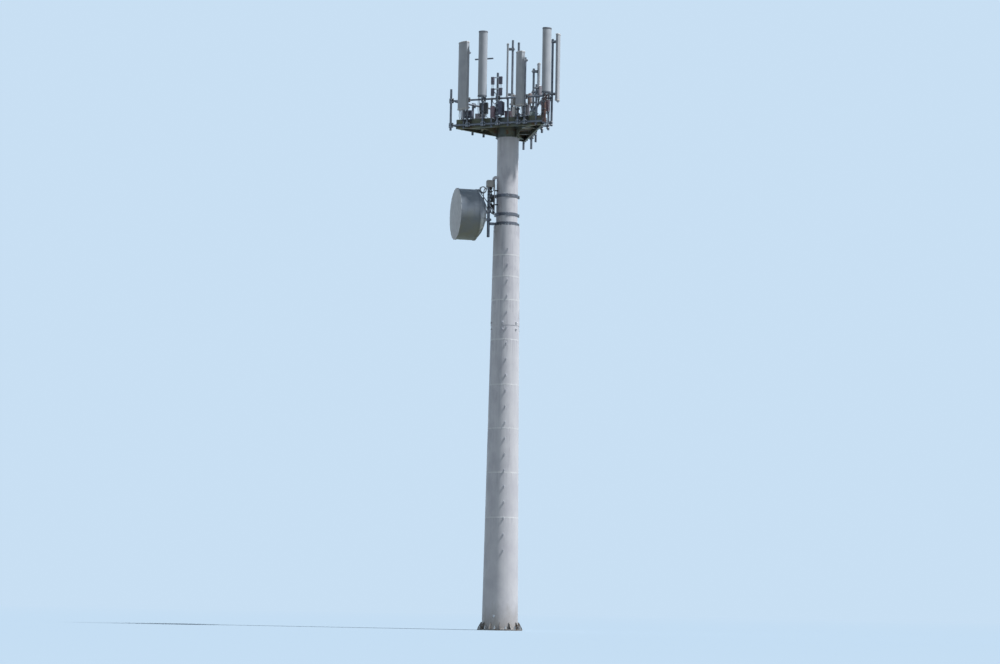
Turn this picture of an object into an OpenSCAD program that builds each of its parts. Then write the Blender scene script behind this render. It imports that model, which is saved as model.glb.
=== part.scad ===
/* [Shaft] */
// Height of the tapered shaft, from the ground to its cap
shaft_h = 15780; // [14000:10:17000]
// Outside diameter of the lower shaft at the ground
shaft_base_d = 1405; // [1250:5:1500]
// How much the shaft narrows for each metre of height
shaft_taper = 25; // [15:1:28]
// Plate thickness of the lower shaft
lower_wall = 12; // [8:1:20]
// Plate thickness of the upper shaft
upper_wall = 10; // [6:1:16]
// Height of the upper shaft's lower edge
slip_z = 11850; // [10000:50:12500]
// Length that the upper shaft laps over the lower one
slip_lap = 1700; // [1200:50:2000]
// Thickness of the cap plate on the shaft
cap_t = 25; // [16:1:40]
// Opening in the cap plate and the flange above it
cap_hole_d = 640; // [400:10:760]

/* [Base] */
// Width of the base flange outside the shaft
base_rim = 177.5; // [160:0.5:220]
// Thickness of the base flange
base_t = 50; // [30:5:80]
// Distance of the anchor holes from the flange's rim
anchor_edge = 75; // [60:1:90]
// Diameter of an anchor hole
anchor_hole_d = 48; // [36:1:60]
// Number of anchor holes
anchor_count = 12; // [8:1:16]
// Height of the gussets on the base flange
gusset_h = 260; // [160:10:400]
// Thickness of a gusset
gusset_t = 20; // [12:1:30]

/* [Cable port] */
// Height of the middle of the cable port
port_z = 1300; // [1000:10:2000]
// Width of the opening in the shaft
port_w = 300; // [200:10:400]
// Height of the opening in the shaft
port_h = 600; // [400:10:900]
// Thickness of the port's frame and cover plate
port_t = 16; // [10:1:24]

/* [Step lugs] */
// Height of the lowest step lug
lug_z = 3000; // [2500:50:4000]
// Height between step lugs
lug_pitch = 620; // [500:10:800]
// Clear height from the top lug to the shaft's cap
lug_clear = 280; // [200:10:1000]
// Bearing of the row of lugs, from +X
lug_bearing = 276; // [255:1:290]

/* [Extension] */
// Outside diameter of the extension tube
ext_d = 850; // [800:5:900]
// Height of the walking surface above the shaft's cap
ext_h = 4040; // [3600:10:4600]
// Wall of the extension tube
ext_wall = 10; // [6:1:16]
// Thickness of the flange under the extension tube
ext_flange_t = 25; // [16:1:40]
// Height of the cable boot above the shaft's cap
boot_rise = 1970; // [1850:10:2600]
// Outside diameter of the cable boot
boot_d = 120; // [90:5:140]
// Wall of the cable boot
boot_wall = 8; // [4:1:12]

/* [Headframe] */
// Distance from the axis to a corner of the triangle
corner_r = 2110; // [1900:10:2400]
// Bearing of the corner at the back right, from +X
corner_bearing = 71; // [60:1:80]
// Thickness of the deck plates
deck_t = 8; // [6:1:12]
// Depth of the edge channels
beam_h = 200; // [160:5:240]
// Width of the edge channels' flanges
beam_w = 75; // [60:5:90]
// Thickness of the channels' webs and flanges
beam_t = 8; // [6:1:12]
// Width of a radial arm
arm_w = 100; // [80:5:120]
// Depth of a radial arm
arm_h = 150; // [120:5:170]
// Wall of a radial arm
arm_wall = 6; // [4:1:10]
// Distance from the axis to the cross brace at each corner
brace_r = 950; // [850:10:1100]
// Height of the toe boards above the deck
toe_h = 165; // [100:5:200]
// Thickness of the toe boards
toe_t = 6; // [4:1:10]
// Height of the hub sleeve that carries the arms
hub_h = 470; // [400:10:560]
// Wall of the hub sleeve
hub_wall = 12; // [8:1:16]
// Length of the haunches under the arms, outside the hub
haunch_l = 380; // [200:10:450]
// Depth of the stiffeners under the deck plates
rib_h = 60; // [40:5:80]

/* [Guard rails] */
// Height of the upper rail above the deck
rail_h = 910; // [850:10:1000]
// Depth of the lower rail below the deck
low_rail_drop = 75; // [60:5:110]
// Outside diameter of the rails
rail_d = 76; // [60:1:90]
// Wall of the rails and posts
rail_wall = 4; // [3:1:6]
// Depth of a rail post
post_t = 40; // [30:5:60]
// Width of a rail post
post_w = 60; // [50:5:80]

/* [Mount pipes] */
// Outside diameter of an antenna pipe
pipe_d = 90; // [76:1:100]
// Wall of an antenna pipe
pipe_wall = 4; // [3:1:6]
// Thickness of the crossover plates
plate_t = 10; // [8:1:16]
// Side of the crossover plates
plate_s = 190; // [160:5:220]
// Distance that the outriggers hold their pipes off the rails
outrigger_l = 200; // [150:10:260]

/* [Panel antennas] */
// Height of the end caps
panel_cap_h = 60; // [45:1:80]
// Gap from an antenna pipe to the back of a panel
panel_gap = 110; // [80:5:160]
// How far the end caps stand proud of a panel's body
panel_lip = 8; // [4:1:12]
// Height of a panel's bracket
bracket_h = 90; // [60:5:120]
// Diameter of the connectors under the panels and radio units
port_d = 34; // [26:1:40]
// Length of the connectors
port_l = 36; // [24:1:50]

/* [Radio units] */
// Gap from an antenna pipe to the back of a radio unit
radio_gap = 40; // [30:5:60]
// Depth of the cooling fins
fin_h = 36; // [20:1:50]
// Thickness of a cooling fin
fin_t = 6; // [4:1:10]
// Distance between cooling fins
fin_pitch = 22; // [18:1:30]

/* [Cables] */
// Diameter of the feeders on the deck
feeder_d = 60; // [40:1:70]
// Diameter of the jumper cables
jumper_d = 22; // [16:1:26]
// How far a jumper hangs below a radio unit
jumper_drop = 110; // [90:5:160]

/* [Dish] */
// Diameter of the dish's drum
dish_d = 2000; // [1800:10:2100]
// Length of the drum
drum_l = 790; // [700:10:900]
// Sheet thickness of the drum
drum_t = 6; // [4:1:10]
// Depth of the bowl behind the drum
bowl_depth = 380; // [300:5:420]
// Height of the dish's middle above the shaft's cap
dish_rise = 425; // [420:5:1200]
// Bearing that the dish faces, from +X
dish_bearing = 194; // [184:1:204]
// Distance from the axis to the dish's pipe
dish_pipe_r = 745; // [700:5:850]
// Diameter of the dish's pipe
dish_pipe_d = 114; // [102:1:140]
// Length of the dish's pipe
dish_pipe_l = 2260; // [2000:10:2600]

/* [Hidden] */

$fn = 180;
// Gap between curved faces that seat on each other
seat = 0.3;
// How far a cut runs past the faces that it goes through
through = 1;

front = 0;
right = 1;
back = 2;
base_d = shaft_base_d + 2 * base_rim;
anchor_pcd = base_d - 2 * anchor_edge;
deck_z = shaft_h + ext_h;
dish_z = shaft_h + dish_rise;
lug_h = 120;
lug_count = 1 + floor((shaft_h - lug_clear - lug_h - lug_z) / lug_pitch);
face_bearing = [corner_bearing + 180, corner_bearing - 60, corner_bearing + 60];
inradius = corner_r / 2;
half_side = corner_r * sin(60);

beam_top = deck_z - deck_t;
beam_bottom = beam_top - beam_h;
rail_out = post_t + rail_d / 2 + seat;
rail_z = deck_z + rail_h;
low_rail_z = deck_z - low_rail_drop;
plate_out = rail_out + rail_d / 2 + seat;
pipe_out = plate_out + plate_t + seat + pipe_d / 2;
far_pipe_out = pipe_out + outrigger_l;

hub_d = ext_d + 2 * seat + 2 * hub_wall;
hub_bottom = beam_top - hub_h;
cap_z = shaft_h - cap_t;
ext_base = shaft_h + ext_flange_t;

// Heights of the bands that carry the dish's arms, and of the strut's band, from the dish's middle
collar_levels = [-315, 795];
strut_level = 55;
// Place of the strut's foot across the band, and the bearing of its head round the rim
strut_side = 170;
strut_turn = 70;
collar_h = 120;
collar_t = 16;
// How far a band's seat for its arm stands out
collar_pad = 24;
dish_pipe_rise = 280;
yoke_l = 100;
flange_w = 15;
bowl_back = dish_pipe_r + dish_pipe_d / 2 + yoke_l;
drum_start = bowl_back + bowl_depth;

// Each guard rail: its ends along the face
rail_ends = [[-2050, 1950], [-1830, 1830], [-1970, 1830]];

// Each pipe: face, place along it, distance out from the edge, lower and upper end above the deck
pipes = [
    [front, -1990, pipe_out, -290, 1350],
    [front, -1300, pipe_out, -180, 2900],
    [front, -660, pipe_out, -180, 3300],
    [front, -50, pipe_out, -180, 1900],
    [front, 800, pipe_out, -180, 3060],
    [front, 1080, pipe_out, -180, 2450],
    [front, 1880, pipe_out, -200, 3200],
    [right, -1500, far_pipe_out, -190, 3280],
    [right, -900, far_pipe_out, -230, 1500],
    [right, -650, pipe_out, -300, 1100],
    [right, 540, pipe_out, -440, 1900],
    [right, 1140, pipe_out, -180, 2680],
    [right, 1400, pipe_out, -560, 1200],
    [back, -1900, pipe_out, -480, 1200],
    [back, -1235, pipe_out, -440, 3930],
    [back, 240, pipe_out, -280, 1000],
    [back, 820, pipe_out, -280, 1000]
];

// Each panel: its pipe, width, depth, height, underside above the deck, turn, lower bracket,
// and the radius of its bowed front for each millimetre of width
panel_specs = [
    [1, 500, 210, 2730, 465, -28, 130, 1.2],
    [2, 360, 190, 2640, 940, 12, 130, 0.62],
    [14, 300, 100, 2230, 1560, 49, 130, 0.9],
    [5, 370, 220, 2180, 485, -32, 130, 1.2],
    [6, 365, 190, 2600, 955, 38, 130, 0.62],
    [7, 280, 160, 2690, 800, -28, 290, 0.7],
    [11, 260, 130, 1330, 1600, 0, 130, 0.7]
];

// Each radio unit: its pipe, turn, underside above the deck, width, depth, height
radio_specs = [
    [1, 180, 200, 300, 150, 300],
    [2, 180, 340, 320, 160, 440],
    [4, -90, 150, 240, 130, 350],
    [5, 180, 200, 280, 140, 400],
    [6, 180, 300, 300, 140, 440],
    [3, 90, 230, 300, 170, 520],
    [3, -90, 110, 320, 160, 460],
    [11, 180, 1230, 260, 130, 420],
    [10, 0, 1420, 260, 130, 420],
    [10, 180, 300, 300, 150, 480],
    [14, 180, 1230, 260, 130, 420]
];
// Places of the connectors across a housing, in fifths of its width
port_places = [-2, -1.25, 1.25, 2];

// Each cabinet on the deck: face, place inward from its edge and along it, depth, width, height
cabinets = [
    [front, -230, -930, 160, 260, 380],
    [front, -230, 330, 180, 300, 420],
    [right, -330, -580, 200, 240, 520]
];

// Each jumper set: a panel, and the radio unit behind its pipe
jumper_sets = [[0, 0], [1, 1], [3, 3], [4, 4], [6, 7], [2, 10]];

function shaft_d(z) = shaft_base_d - shaft_taper * z / 1000;
function upper_inner_d(z) = shaft_d(z) + 2 * seat;
function upper_outer_d(z) = upper_inner_d(z) + 2 * upper_wall;

module steel() { color([0.80, 0.80, 0.84]) children(); }
module galvanised() { color([0.66, 0.68, 0.70]) children(); }
module radome_grey() { color([0.78, 0.80, 0.84]) children(); }

module tube(d, wall, l) {
    difference() {
        cylinder(d = d, h = l);
        translate([0, 0, -through])
            cylinder(d = d - 2 * wall, h = l + 2 * through);
    }
}

// Local frame of a face: +X outward from its edge, +Y along it
module on_face(face) {
    rotate([0, 0, face_bearing[face]])
        translate([inradius, 0, 0])
            children();
}

// Local frame of a pipe: +X the way that what hangs on it faces, the origin on the deck's level
module on_pipe(index, turn) {
    p = pipes[index];
    on_face(p[0])
        translate([p[2], p[1], deck_z])
            rotate([0, 0, turn])
                children();
}

function turned(v, a) = [v[0] * cos(a) - v[1] * sin(a), v[0] * sin(a) + v[1] * cos(a), v[2]];
function face_place(face, v) = turned([inradius + v[0], v[1], v[2]], face_bearing[face]);
function pipe_place(index, turn, v) =
    face_place(pipes[index][0], [pipes[index][2], pipes[index][1], deck_z] + turned(v, turn));

// The foot of a connector, by its number
function panel_port(s, k) = pipe_place(
    s[0], s[5], [pipe_d / 2 + panel_gap + s[2] * 0.4, port_places[k] * s[1] / 5, s[4] - port_l]
);
function radio_port(u, k) = pipe_place(
    u[0], u[1], [pipe_d / 2 + radio_gap + u[4] * 0.35, port_places[k] * u[3] / 5, u[2] - port_l]
);

module base_flange() {
    steel() difference() {
        cylinder(d = base_d, h = base_t);
        for (i = [0 : anchor_count - 1])
            rotate([0, 0, (i + 0.5) * 360 / anchor_count])
                translate([anchor_pcd / 2, 0, -through])
                    cylinder(d = anchor_hole_d, h = base_t + 2 * through);
    }
}

module base_gussets() {
    low_r = shaft_d(base_t) / 2 + seat;
    high_r = shaft_d(base_t + gusset_h) / 2 + seat;
    outer_r = base_d / 2 - 20;
    lip = 40;
    steel() for (i = [0 : anchor_count - 1])
        rotate([0, 0, i * 360 / anchor_count])
            translate([0, gusset_t / 2, base_t])
                rotate([90, 0, 0])
                    linear_extrude(gusset_t)
                        polygon([
                            [low_r, 0], [outer_r, 0], [outer_r, lip],
                            [high_r + lip, gusset_h], [high_r, gusset_h]
                        ]);
}

module port_cut(w, h, out) {
    translate([0, 0, port_z])
        rotate([0, 0, 90])
            translate([out / 2, 0, 0])
                cube([out, w, h], center = true);
}

module lower_shaft() {
    top = slip_z + slip_lap;
    wall_d = 2 * lower_wall;
    steel() difference() {
        translate([0, 0, base_t])
            cylinder(d1 = shaft_d(base_t), d2 = shaft_d(top), h = top - base_t);
        translate([0, 0, base_t - through])
            cylinder(
                d1 = shaft_d(base_t - through) - wall_d,
                d2 = shaft_d(top + through) - wall_d,
                h = top - base_t + 2 * through
            );
        port_cut(port_w, port_h, shaft_base_d);
    }
}

module upper_shaft() {
    steel() difference() {
        translate([0, 0, slip_z])
            cylinder(d1 = upper_outer_d(slip_z), d2 = upper_outer_d(cap_z), h = cap_z - slip_z);
        translate([0, 0, slip_z - through])
            cylinder(
                d1 = upper_inner_d(slip_z - through),
                d2 = upper_inner_d(cap_z + through),
                h = cap_z - slip_z + 2 * through
            );
    }
}

// A thick frame round the cable port, closed by a bolted plate
module port_cover() {
    rim = 50;
    face_r = shaft_d(port_z - port_h / 2 - rim) / 2 + seat;
    steel() {
        difference() {
            port_cut(port_w + 2 * rim, port_h + 2 * rim, face_r + port_t);
            port_cut(port_w, port_h, shaft_base_d);
            translate([0, 0, base_t])
                cylinder(
                    d1 = shaft_d(base_t) + 2 * seat,
                    d2 = shaft_d(slip_z) + 2 * seat,
                    h = slip_z - base_t
                );
        }
        translate([0, 0, port_z])
            rotate([0, 0, 90])
                translate([face_r + port_t + 5, 0, 0])
                    cube([10, port_w + 2 * rim, port_h + 2 * rim], center = true);
    }
}

// Flat cleats on the shaft that take the climbing pegs
module step_lugs() {
    lug_t = 12;
    lug_l = 65;
    slope = 15;
    steel() for (i = [0 : lug_count - 1]) {
        z = lug_z + i * lug_pitch;
        top = z + lug_h;
        on_upper = top > slip_z - 20;
        low_r = (on_upper ? upper_outer_d(z) : shaft_d(z)) / 2 + seat;
        top_r = (on_upper ? upper_outer_d(top) : shaft_d(top)) / 2 + seat;
        rotate([0, 0, lug_bearing])
            translate([0, lug_t / 2, 0])
                rotate([90, 0, 0])
                    linear_extrude(lug_t)
                        polygon([
                            [low_r, z], [low_r + lug_l, z + slope], [low_r + lug_l, top - slope], [top_r, top]
                        ]);
    }
}

module shaft_cap() {
    steel() translate([0, 0, cap_z])
        difference() {
            cylinder(d = upper_outer_d(cap_z), h = cap_t);
            translate([0, 0, -through])
                cylinder(d = cap_hole_d, h = cap_t + 2 * through);
        }
}

// An elbow on the extension's side through which the cables go in, open downwards
module boot(d, past) {
    bend_r = 80;
    reach = ext_d / 2 + 50;
    rotate([0, 0, dish_bearing])
        translate([0, 0, shaft_h + boot_rise]) {
            translate([ext_d / 2 - 5 - 20 * past, 0, 0])
                rotate([0, 90, 0])
                    cylinder(d = d, h = 55 + 20 * past);
            translate([reach, 0, -bend_r]) {
                rotate([90, 0, 0])
                    rotate_extrude(angle = 90)
                        translate([bend_r, 0])
                            circle(d = d);
                translate([bend_r, 0, -40 - past])
                    cylinder(d = d, h = 40 + past);
            }
        }
}

module extension_tube() {
    steel() difference() {
        union() {
            translate([0, 0, shaft_h])
                cylinder(d = upper_outer_d(cap_z), h = ext_flange_t);
            translate([0, 0, ext_base])
                cylinder(d = ext_d, h = beam_top - ext_base);
            boot(boot_d, 0);
        }
        translate([0, 0, shaft_h - through])
            cylinder(d = cap_hole_d, h = ext_flange_t + 2 * through);
        translate([0, 0, ext_base])
            cylinder(d = ext_d - 2 * ext_wall, h = beam_top - ext_base + through);
        boot(boot_d - 2 * boot_wall, through);
    }
}

// Sleeve on the extension, with a lower ring and a closed top
module headframe_hub() {
    ring_t = 16;
    galvanised() difference() {
        union() {
            translate([0, 0, hub_bottom])
                cylinder(d = hub_d, h = hub_h);
            translate([0, 0, hub_bottom])
                cylinder(d = hub_d + 120, h = ring_t);
            translate([0, 0, beam_top])
                cylinder(d = hub_d, h = deck_t);
        }
        translate([0, 0, hub_bottom - through])
            cylinder(d = ext_d + 2 * seat, h = hub_h + through + seat);
    }
}

// One box arm to each corner, with the corner's cross brace
module radial_arms() {
    start = hub_d / 2 - 60;
    tip = 2 * (inradius - beam_w);
    flank = tip - arm_w / 2 * tan(60);
    haunch_t = 12;
    hub_r = hub_d / 2 + seat;
    arm_bottom = beam_top - arm_h;
    brace_w = 80;
    brace_h = 120;
    brace_half = (tip - brace_r - brace_w) * tan(30);
    galvanised() for (i = [0 : 2])
        rotate([0, 0, corner_bearing + i * 120])
            difference() {
                union() {
                    translate([0, haunch_t / 2, 0])
                        rotate([90, 0, 0])
                            linear_extrude(haunch_t)
                                polygon([
                                    [hub_r, arm_bottom + through], [hub_r, hub_bottom + 40],
                                    [hub_r + 50, hub_bottom + 40], [hub_r + haunch_l, arm_bottom - 20],
                                    [hub_r + haunch_l, arm_bottom + through]
                                ]);
                    translate([0, 0, arm_bottom])
                        linear_extrude(arm_h)
                            polygon([
                                [start, -arm_w / 2], [flank, -arm_w / 2], [tip, 0],
                                [flank, arm_w / 2], [start, arm_w / 2]
                            ]);
                    translate([0, 0, beam_top - brace_h])
                        linear_extrude(brace_h)
                            polygon([
                                [brace_r, -brace_half - brace_w * tan(30)],
                                [brace_r + brace_w, -brace_half],
                                [brace_r + brace_w, brace_half],
                                [brace_r, brace_half + brace_w * tan(30)]
                            ]);
                }
                translate([start - through, -arm_w / 2 + arm_wall, arm_bottom + arm_wall])
                    cube([tip, arm_w - 2 * arm_wall, arm_h - 2 * arm_wall]);
                translate([0, 0, hub_bottom])
                    cylinder(d = hub_d + 2 * seat, h = hub_h + through);
            }
}

module edge_prism(from_out, depth, z, h) {
    outer = half_side + from_out * tan(60);
    inner = outer - depth * tan(60);
    translate([0, 0, z])
        linear_extrude(h)
            polygon([
                [from_out, -outer], [from_out, outer],
                [from_out - depth, inner], [from_out - depth, -inner]
            ]);
}

// Channel with its web outside and mitred ends
module edge_beam(face) {
    galvanised() on_face(face) union() {
        edge_prism(0, beam_t, beam_bottom, beam_h);
        edge_prism(0, beam_w, beam_bottom, beam_t);
        edge_prism(0, beam_w, beam_top - beam_t, beam_t);
    }
}

module edge_beam_front() { edge_beam(front); }
module edge_beam_right() { edge_beam(right); }
module edge_beam_back() { edge_beam(back); }

// Floor plates, one to each face, with flat stiffeners under them
module deck_plates() {
    split = 6;
    rib_t = 8;
    rib_places = [-300, 300];
    rib_from = hub_d / 2 + 40;
    galvanised() for (face = [front, right, back])
        on_face(face) {
            difference() {
                translate([0, 0, beam_top])
                    linear_extrude(deck_t)
                        polygon([
                            [0, -half_side + split], [0, half_side - split],
                            [-inradius + split, 0]
                        ]);
                translate([-inradius, 0, beam_top - through])
                    cylinder(d = hub_d + 20, h = deck_t + 2 * through);
            }
            for (y = rib_places)
                translate([-inradius + rib_from, y - rib_t / 2, beam_top - rib_h])
                    cube([inradius - rib_from - beam_w - 2, rib_t, rib_h]);
        }
}

module toe_boards() {
    galvanised() for (face = [front, right, back])
        on_face(face)
            translate([-toe_t, -half_side + 20, deck_z])
                cube([toe_t, 2 * half_side - 40, toe_h]);
}

// Two rails held against the outer faces of posts on the channel's web
module guard_rail(face) {
    post_places = [-1500, -340, 340, 1500];
    ends = rail_ends[face];
    post_h = rail_z + rail_d / 2 - beam_bottom;
    galvanised() on_face(face) {
        for (z = [low_rail_z, rail_z])
            translate([rail_out, ends[0], z])
                rotate([-90, 0, 0])
                    tube(rail_d, rail_wall, ends[1] - ends[0]);
        for (y = post_places)
            translate([0, y - post_w / 2, beam_bottom])
                difference() {
                    cube([post_t, post_w, post_h]);
                    translate([rail_wall, rail_wall, -through])
                        cube([post_t - 2 * rail_wall, post_w - 2 * rail_wall, post_h - rail_wall + through]);
                }
    }
}

module guard_rail_front() { guard_rail(front); }
module guard_rail_right() { guard_rail(right); }
module guard_rail_back() { guard_rail(back); }

module mount_pipes(face) {
    galvanised() for (p = pipes)
        if (p[0] == face)
            on_face(face)
                translate([p[2], p[1], deck_z + p[3]])
                    tube(pipe_d, pipe_wall, p[4] - p[3]);
}

module pipes_front() { mount_pipes(front); }
module pipes_right() { mount_pipes(right); }
module pipes_back() { mount_pipes(back); }

// A bracket from a pipe to the back of a panel or a radio unit
module bracket(z, h, gap) {
    arm = 50;
    cheek = 14;
    plate = 8;
    translate([0, 0, z - h / 2])
        difference() {
            translate([-pipe_d / 2 - cheek, -arm, 0])
                cube([pipe_d + cheek + gap - seat, 2 * arm, h]);
            translate([0, 0, -through])
                cylinder(d = pipe_d + 2 * seat, h = h + 2 * through);
            translate([pipe_d / 2 + cheek, -arm + plate, -through])
                cube([gap - cheek - plate, 2 * (arm - plate), h + 2 * through]);
        }
}

module face_clamps(face) {
    bar = 50;
    bar_l = 760;
    bar_z = 2500;
    radio_bracket_h = 60;
    galvanised() {
        for (p = pipes)
            if (p[0] == face && p[2] == pipe_out)
                on_face(face)
                    for (z = [low_rail_z, rail_z])
                        if (z - deck_z > p[3])
                            translate([plate_out, p[1] - plate_s / 2, z - plate_s / 2])
                                cube([plate_t, plate_s, plate_s]);
        for (s = panel_specs)
            if (pipes[s[0]][0] == face)
                on_pipe(s[0], s[5])
                    for (z = [s[4] + s[6], min(s[4] + s[3] - 220, pipes[s[0]][4] - 100)])
                        bracket(z, bracket_h, panel_gap + panel_lip);
        for (u = radio_specs)
            if (pipes[u[0]][0] == face)
                on_pipe(u[0], u[1])
                    for (z = [u[2] + 70, u[2] + u[5] - 70])
                        bracket(z, radio_bracket_h, radio_gap);
        if (face == front)
            on_pipe(2, 0)
                translate([-pipe_d / 2 - seat - bar, -bar_l / 2, bar_z])
                    cube([bar, bar_l, bar]);
    }
}

module clamps_front() { face_clamps(front); }
module clamps_right() { face_clamps(right); }
module clamps_back() { face_clamps(back); }

// Arms that hold the two outer pipes off the right face's rails
module outriggers() {
    arm = 60;
    galvanised() for (p = pipes)
        if (p[2] == far_pipe_out)
            on_face(right)
                for (z = [low_rail_z, rail_z]) {
                    translate([plate_out, p[1] - plate_s / 2, z - plate_s / 2])
                        cube([plate_t, plate_s, plate_s]);
                    translate([plate_out + plate_t, p[1] - arm / 2, z - arm / 2])
                        cube([outrigger_l - plate_t, arm, arm]);
                    translate([plate_out + outrigger_l, p[1] - plate_s / 2, z - plate_s / 2])
                        cube([plate_t, plate_s, plate_s]);
                }
}

// A panel antenna: flat back, straight sides, bowed front and end caps
module panel_profile(w, d, h, bow) {
    bow_r = bow * w;
    intersection() {
        translate([0, -w / 2, 0])
            cube([d, w, h]);
        translate([d - bow_r, 0, 0])
            cylinder(r = bow_r, h = h);
    }
}

module panel(index) {
    s = panel_specs[index];
    w = s[1];
    d = s[2];
    h = s[3];
    lip = 2 * panel_lip;
    radome_grey() on_pipe(s[0], s[5])
        translate([pipe_d / 2 + panel_gap, 0, s[4]]) {
            panel_profile(w, d, panel_cap_h, s[7]);
            translate([panel_lip, 0, panel_cap_h])
                panel_profile(w - lip, d - lip, h - 2 * panel_cap_h, s[7]);
            translate([0, 0, h - panel_cap_h])
                panel_profile(w, d, panel_cap_h, s[7]);
            for (k = port_places)
                translate([d * 0.4, k * w / 5, -port_l])
                    cylinder(d = port_d, h = port_l);
        }
}

module panel_left_wide() { panel(0); }
module panel_left_tall() { panel(1); }
module panel_back() { panel(2); }
module panel_middle() { panel(3); }
module panel_right_tall() { panel(4); }
module panel_right_outer() { panel(5); }
module panel_right_short() { panel(6); }

// Dish frame: +X is the way the dish faces, the origin is on the shaft's axis
module on_dish() {
    translate([0, 0, dish_z])
        rotate([0, 0, dish_bearing])
            children();
}

// Bands in three parts with bolted ears, and a seat for the arm or the strut
module dish_collars() {
    ear_bearings = [-76, 76, 180];
    galvanised() on_dish() for (z = concat(collar_levels, strut_level))
        translate([0, 0, z - collar_h / 2])
            difference() {
                pad_w = z == strut_level ? 2 * strut_side + 80 : 220;
                union() {
                    cylinder(d = ext_d + 2 * seat + 2 * collar_t, h = collar_h);
                    for (a = ear_bearings)
                        rotate([0, 0, a])
                            translate([ext_d / 2 + 5, -35, 0])
                                cube([collar_t + 55, 70, collar_h]);
                    translate([ext_d / 2 - 120, -pad_w / 2, 0])
                        cube([collar_t + collar_pad + 120, pad_w, collar_h]);
                }
                translate([0, 0, -through])
                    cylinder(d = ext_d + 2 * seat, h = collar_h + 2 * through);
                for (a = ear_bearings)
                    rotate([0, 0, a])
                        translate([ext_d / 2 - 20, -6, -through])
                            cube([collar_t + 120, 12, collar_h + 2 * through]);
            }
}

module rod(a, b, d) {
    v = b - a;
    translate(a)
        rotate([0, acos(v[2] / norm(v)), atan2(v[1], v[0])])
            cylinder(d = d, h = norm(v));
}

// Box arms from the bands to the pipe, and the strut from its band to the drum's rim
module dish_arms() {
    from = ext_d / 2 + collar_t + collar_pad;
    wall = 8;
    to = dish_pipe_r - dish_pipe_d / 2 - seat;
    arm = 100;
    shoe = 60;
    head_r = dish_d / 2 - 4;
    head_w = 36;
    head_l = 44;
    rim_t = 8;
    head_x = drum_start - rim_t - head_l;
    strut_foot = [from + shoe / 2, strut_side, strut_level];
    strut_head = [
        head_x + head_l / 2,
        (head_r + head_w / 2) * cos(strut_turn),
        (head_r + head_w / 2) * sin(strut_turn)
    ];
    galvanised() on_dish() {
        for (z = collar_levels)
            translate([from, -arm / 2, z - arm / 2])
                difference() {
                    cube([to - from, arm, arm]);
                    translate([-through, wall, wall])
                        cube([to - from + 2 * through, arm - 2 * wall, arm - 2 * wall]);
                }
        union() {
            translate([from, strut_side - shoe / 2, strut_level - shoe / 2])
                cube([shoe, shoe, shoe]);
            rod(strut_foot, strut_head, 34);
            rotate([strut_turn, 0, 0])
                translate([head_x, head_r, -shoe / 2])
                    cube([head_l, head_w, shoe]);
        }
    }
}

module dish_pipe() {
    galvanised() on_dish()
        translate([dish_pipe_r, 0, dish_pipe_rise - dish_pipe_l / 2])
            tube(dish_pipe_d, 6, dish_pipe_l);
}

// Two saddles on the pipe and the plate that carries the bowl
module dish_yoke() {
    w = 300;
    h = 460;
    plate = 20;
    saddle_h = 90;
    from = dish_pipe_r - dish_pipe_d / 2 - 24;
    galvanised() on_dish() difference() {
        union() {
            translate([bowl_back - plate - seat, -w / 2, -h / 2])
                cube([plate, w, h]);
            for (z = [-h / 2 + 20, h / 2 - 20 - saddle_h])
                translate([from, -90, z])
                    cube([bowl_back - seat - from, 180, saddle_h]);
        }
        translate([dish_pipe_r, 0, -h])
            cylinder(d = dish_pipe_d + 2 * seat, h = 2 * h);
    }
}

// Spun bowl: a spherical cap with a flat rim that bolts to the drum
module dish_reflector() {
    rim_r = dish_d / 2 - drum_t;
    bowl_r = (rim_r * rim_r + bowl_depth * bowl_depth) / (2 * bowl_depth);
    bowl_t = 5;
    rim_t = 8;
    color([0.74, 0.77, 0.82]) on_dish() translate([bowl_back, 0, 0])
        rotate([0, 90, 0])
            rotate_extrude() {
                intersection() {
                    difference() {
                        translate([0, bowl_r])
                            circle(r = bowl_r, $fn = 720);
                        translate([0, bowl_r + bowl_t])
                            circle(r = bowl_r, $fn = 720);
                    }
                    square([rim_r, bowl_depth]);
                }
                translate([rim_r - bowl_t, bowl_depth - rim_t])
                    square([drum_t + bowl_t + flange_w, rim_t]);
            }
}

module dish_drum() {
    band = 40;
    color([0.74, 0.77, 0.82]) on_dish() translate([drum_start, 0, 0])
        rotate([0, 90, 0])
            difference() {
                union() {
                    cylinder(d = dish_d, h = drum_l);
                    cylinder(d = dish_d + 2 * flange_w, h = band);
                    translate([0, 0, drum_l - band])
                        cylinder(d = dish_d + 2 * flange_w, h = band);
                }
                translate([0, 0, -through])
                    cylinder(d = dish_d - 2 * drum_t, h = drum_l + 2 * through);
            }
}

// Front skin, slightly domed, in a flat rim
module dish_radome() {
    bulge = 30;
    rim_t = 10;
    rim_r = dish_d / 2 + flange_w;
    skin_r = dish_d / 2 - drum_t;
    steps = 12;
    color([0.90, 0.91, 0.93]) on_dish() translate([drum_start + drum_l, 0, 0])
        rotate([0, 90, 0])
            rotate_extrude()
                polygon([
                    [0, 0], [rim_r, 0], [rim_r, rim_t],
                    for (i = [steps : -1 : 0])
                        [skin_r * i / steps, rim_t + bulge * (1 - pow(i / steps, 2))]
                ]);
}

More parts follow.
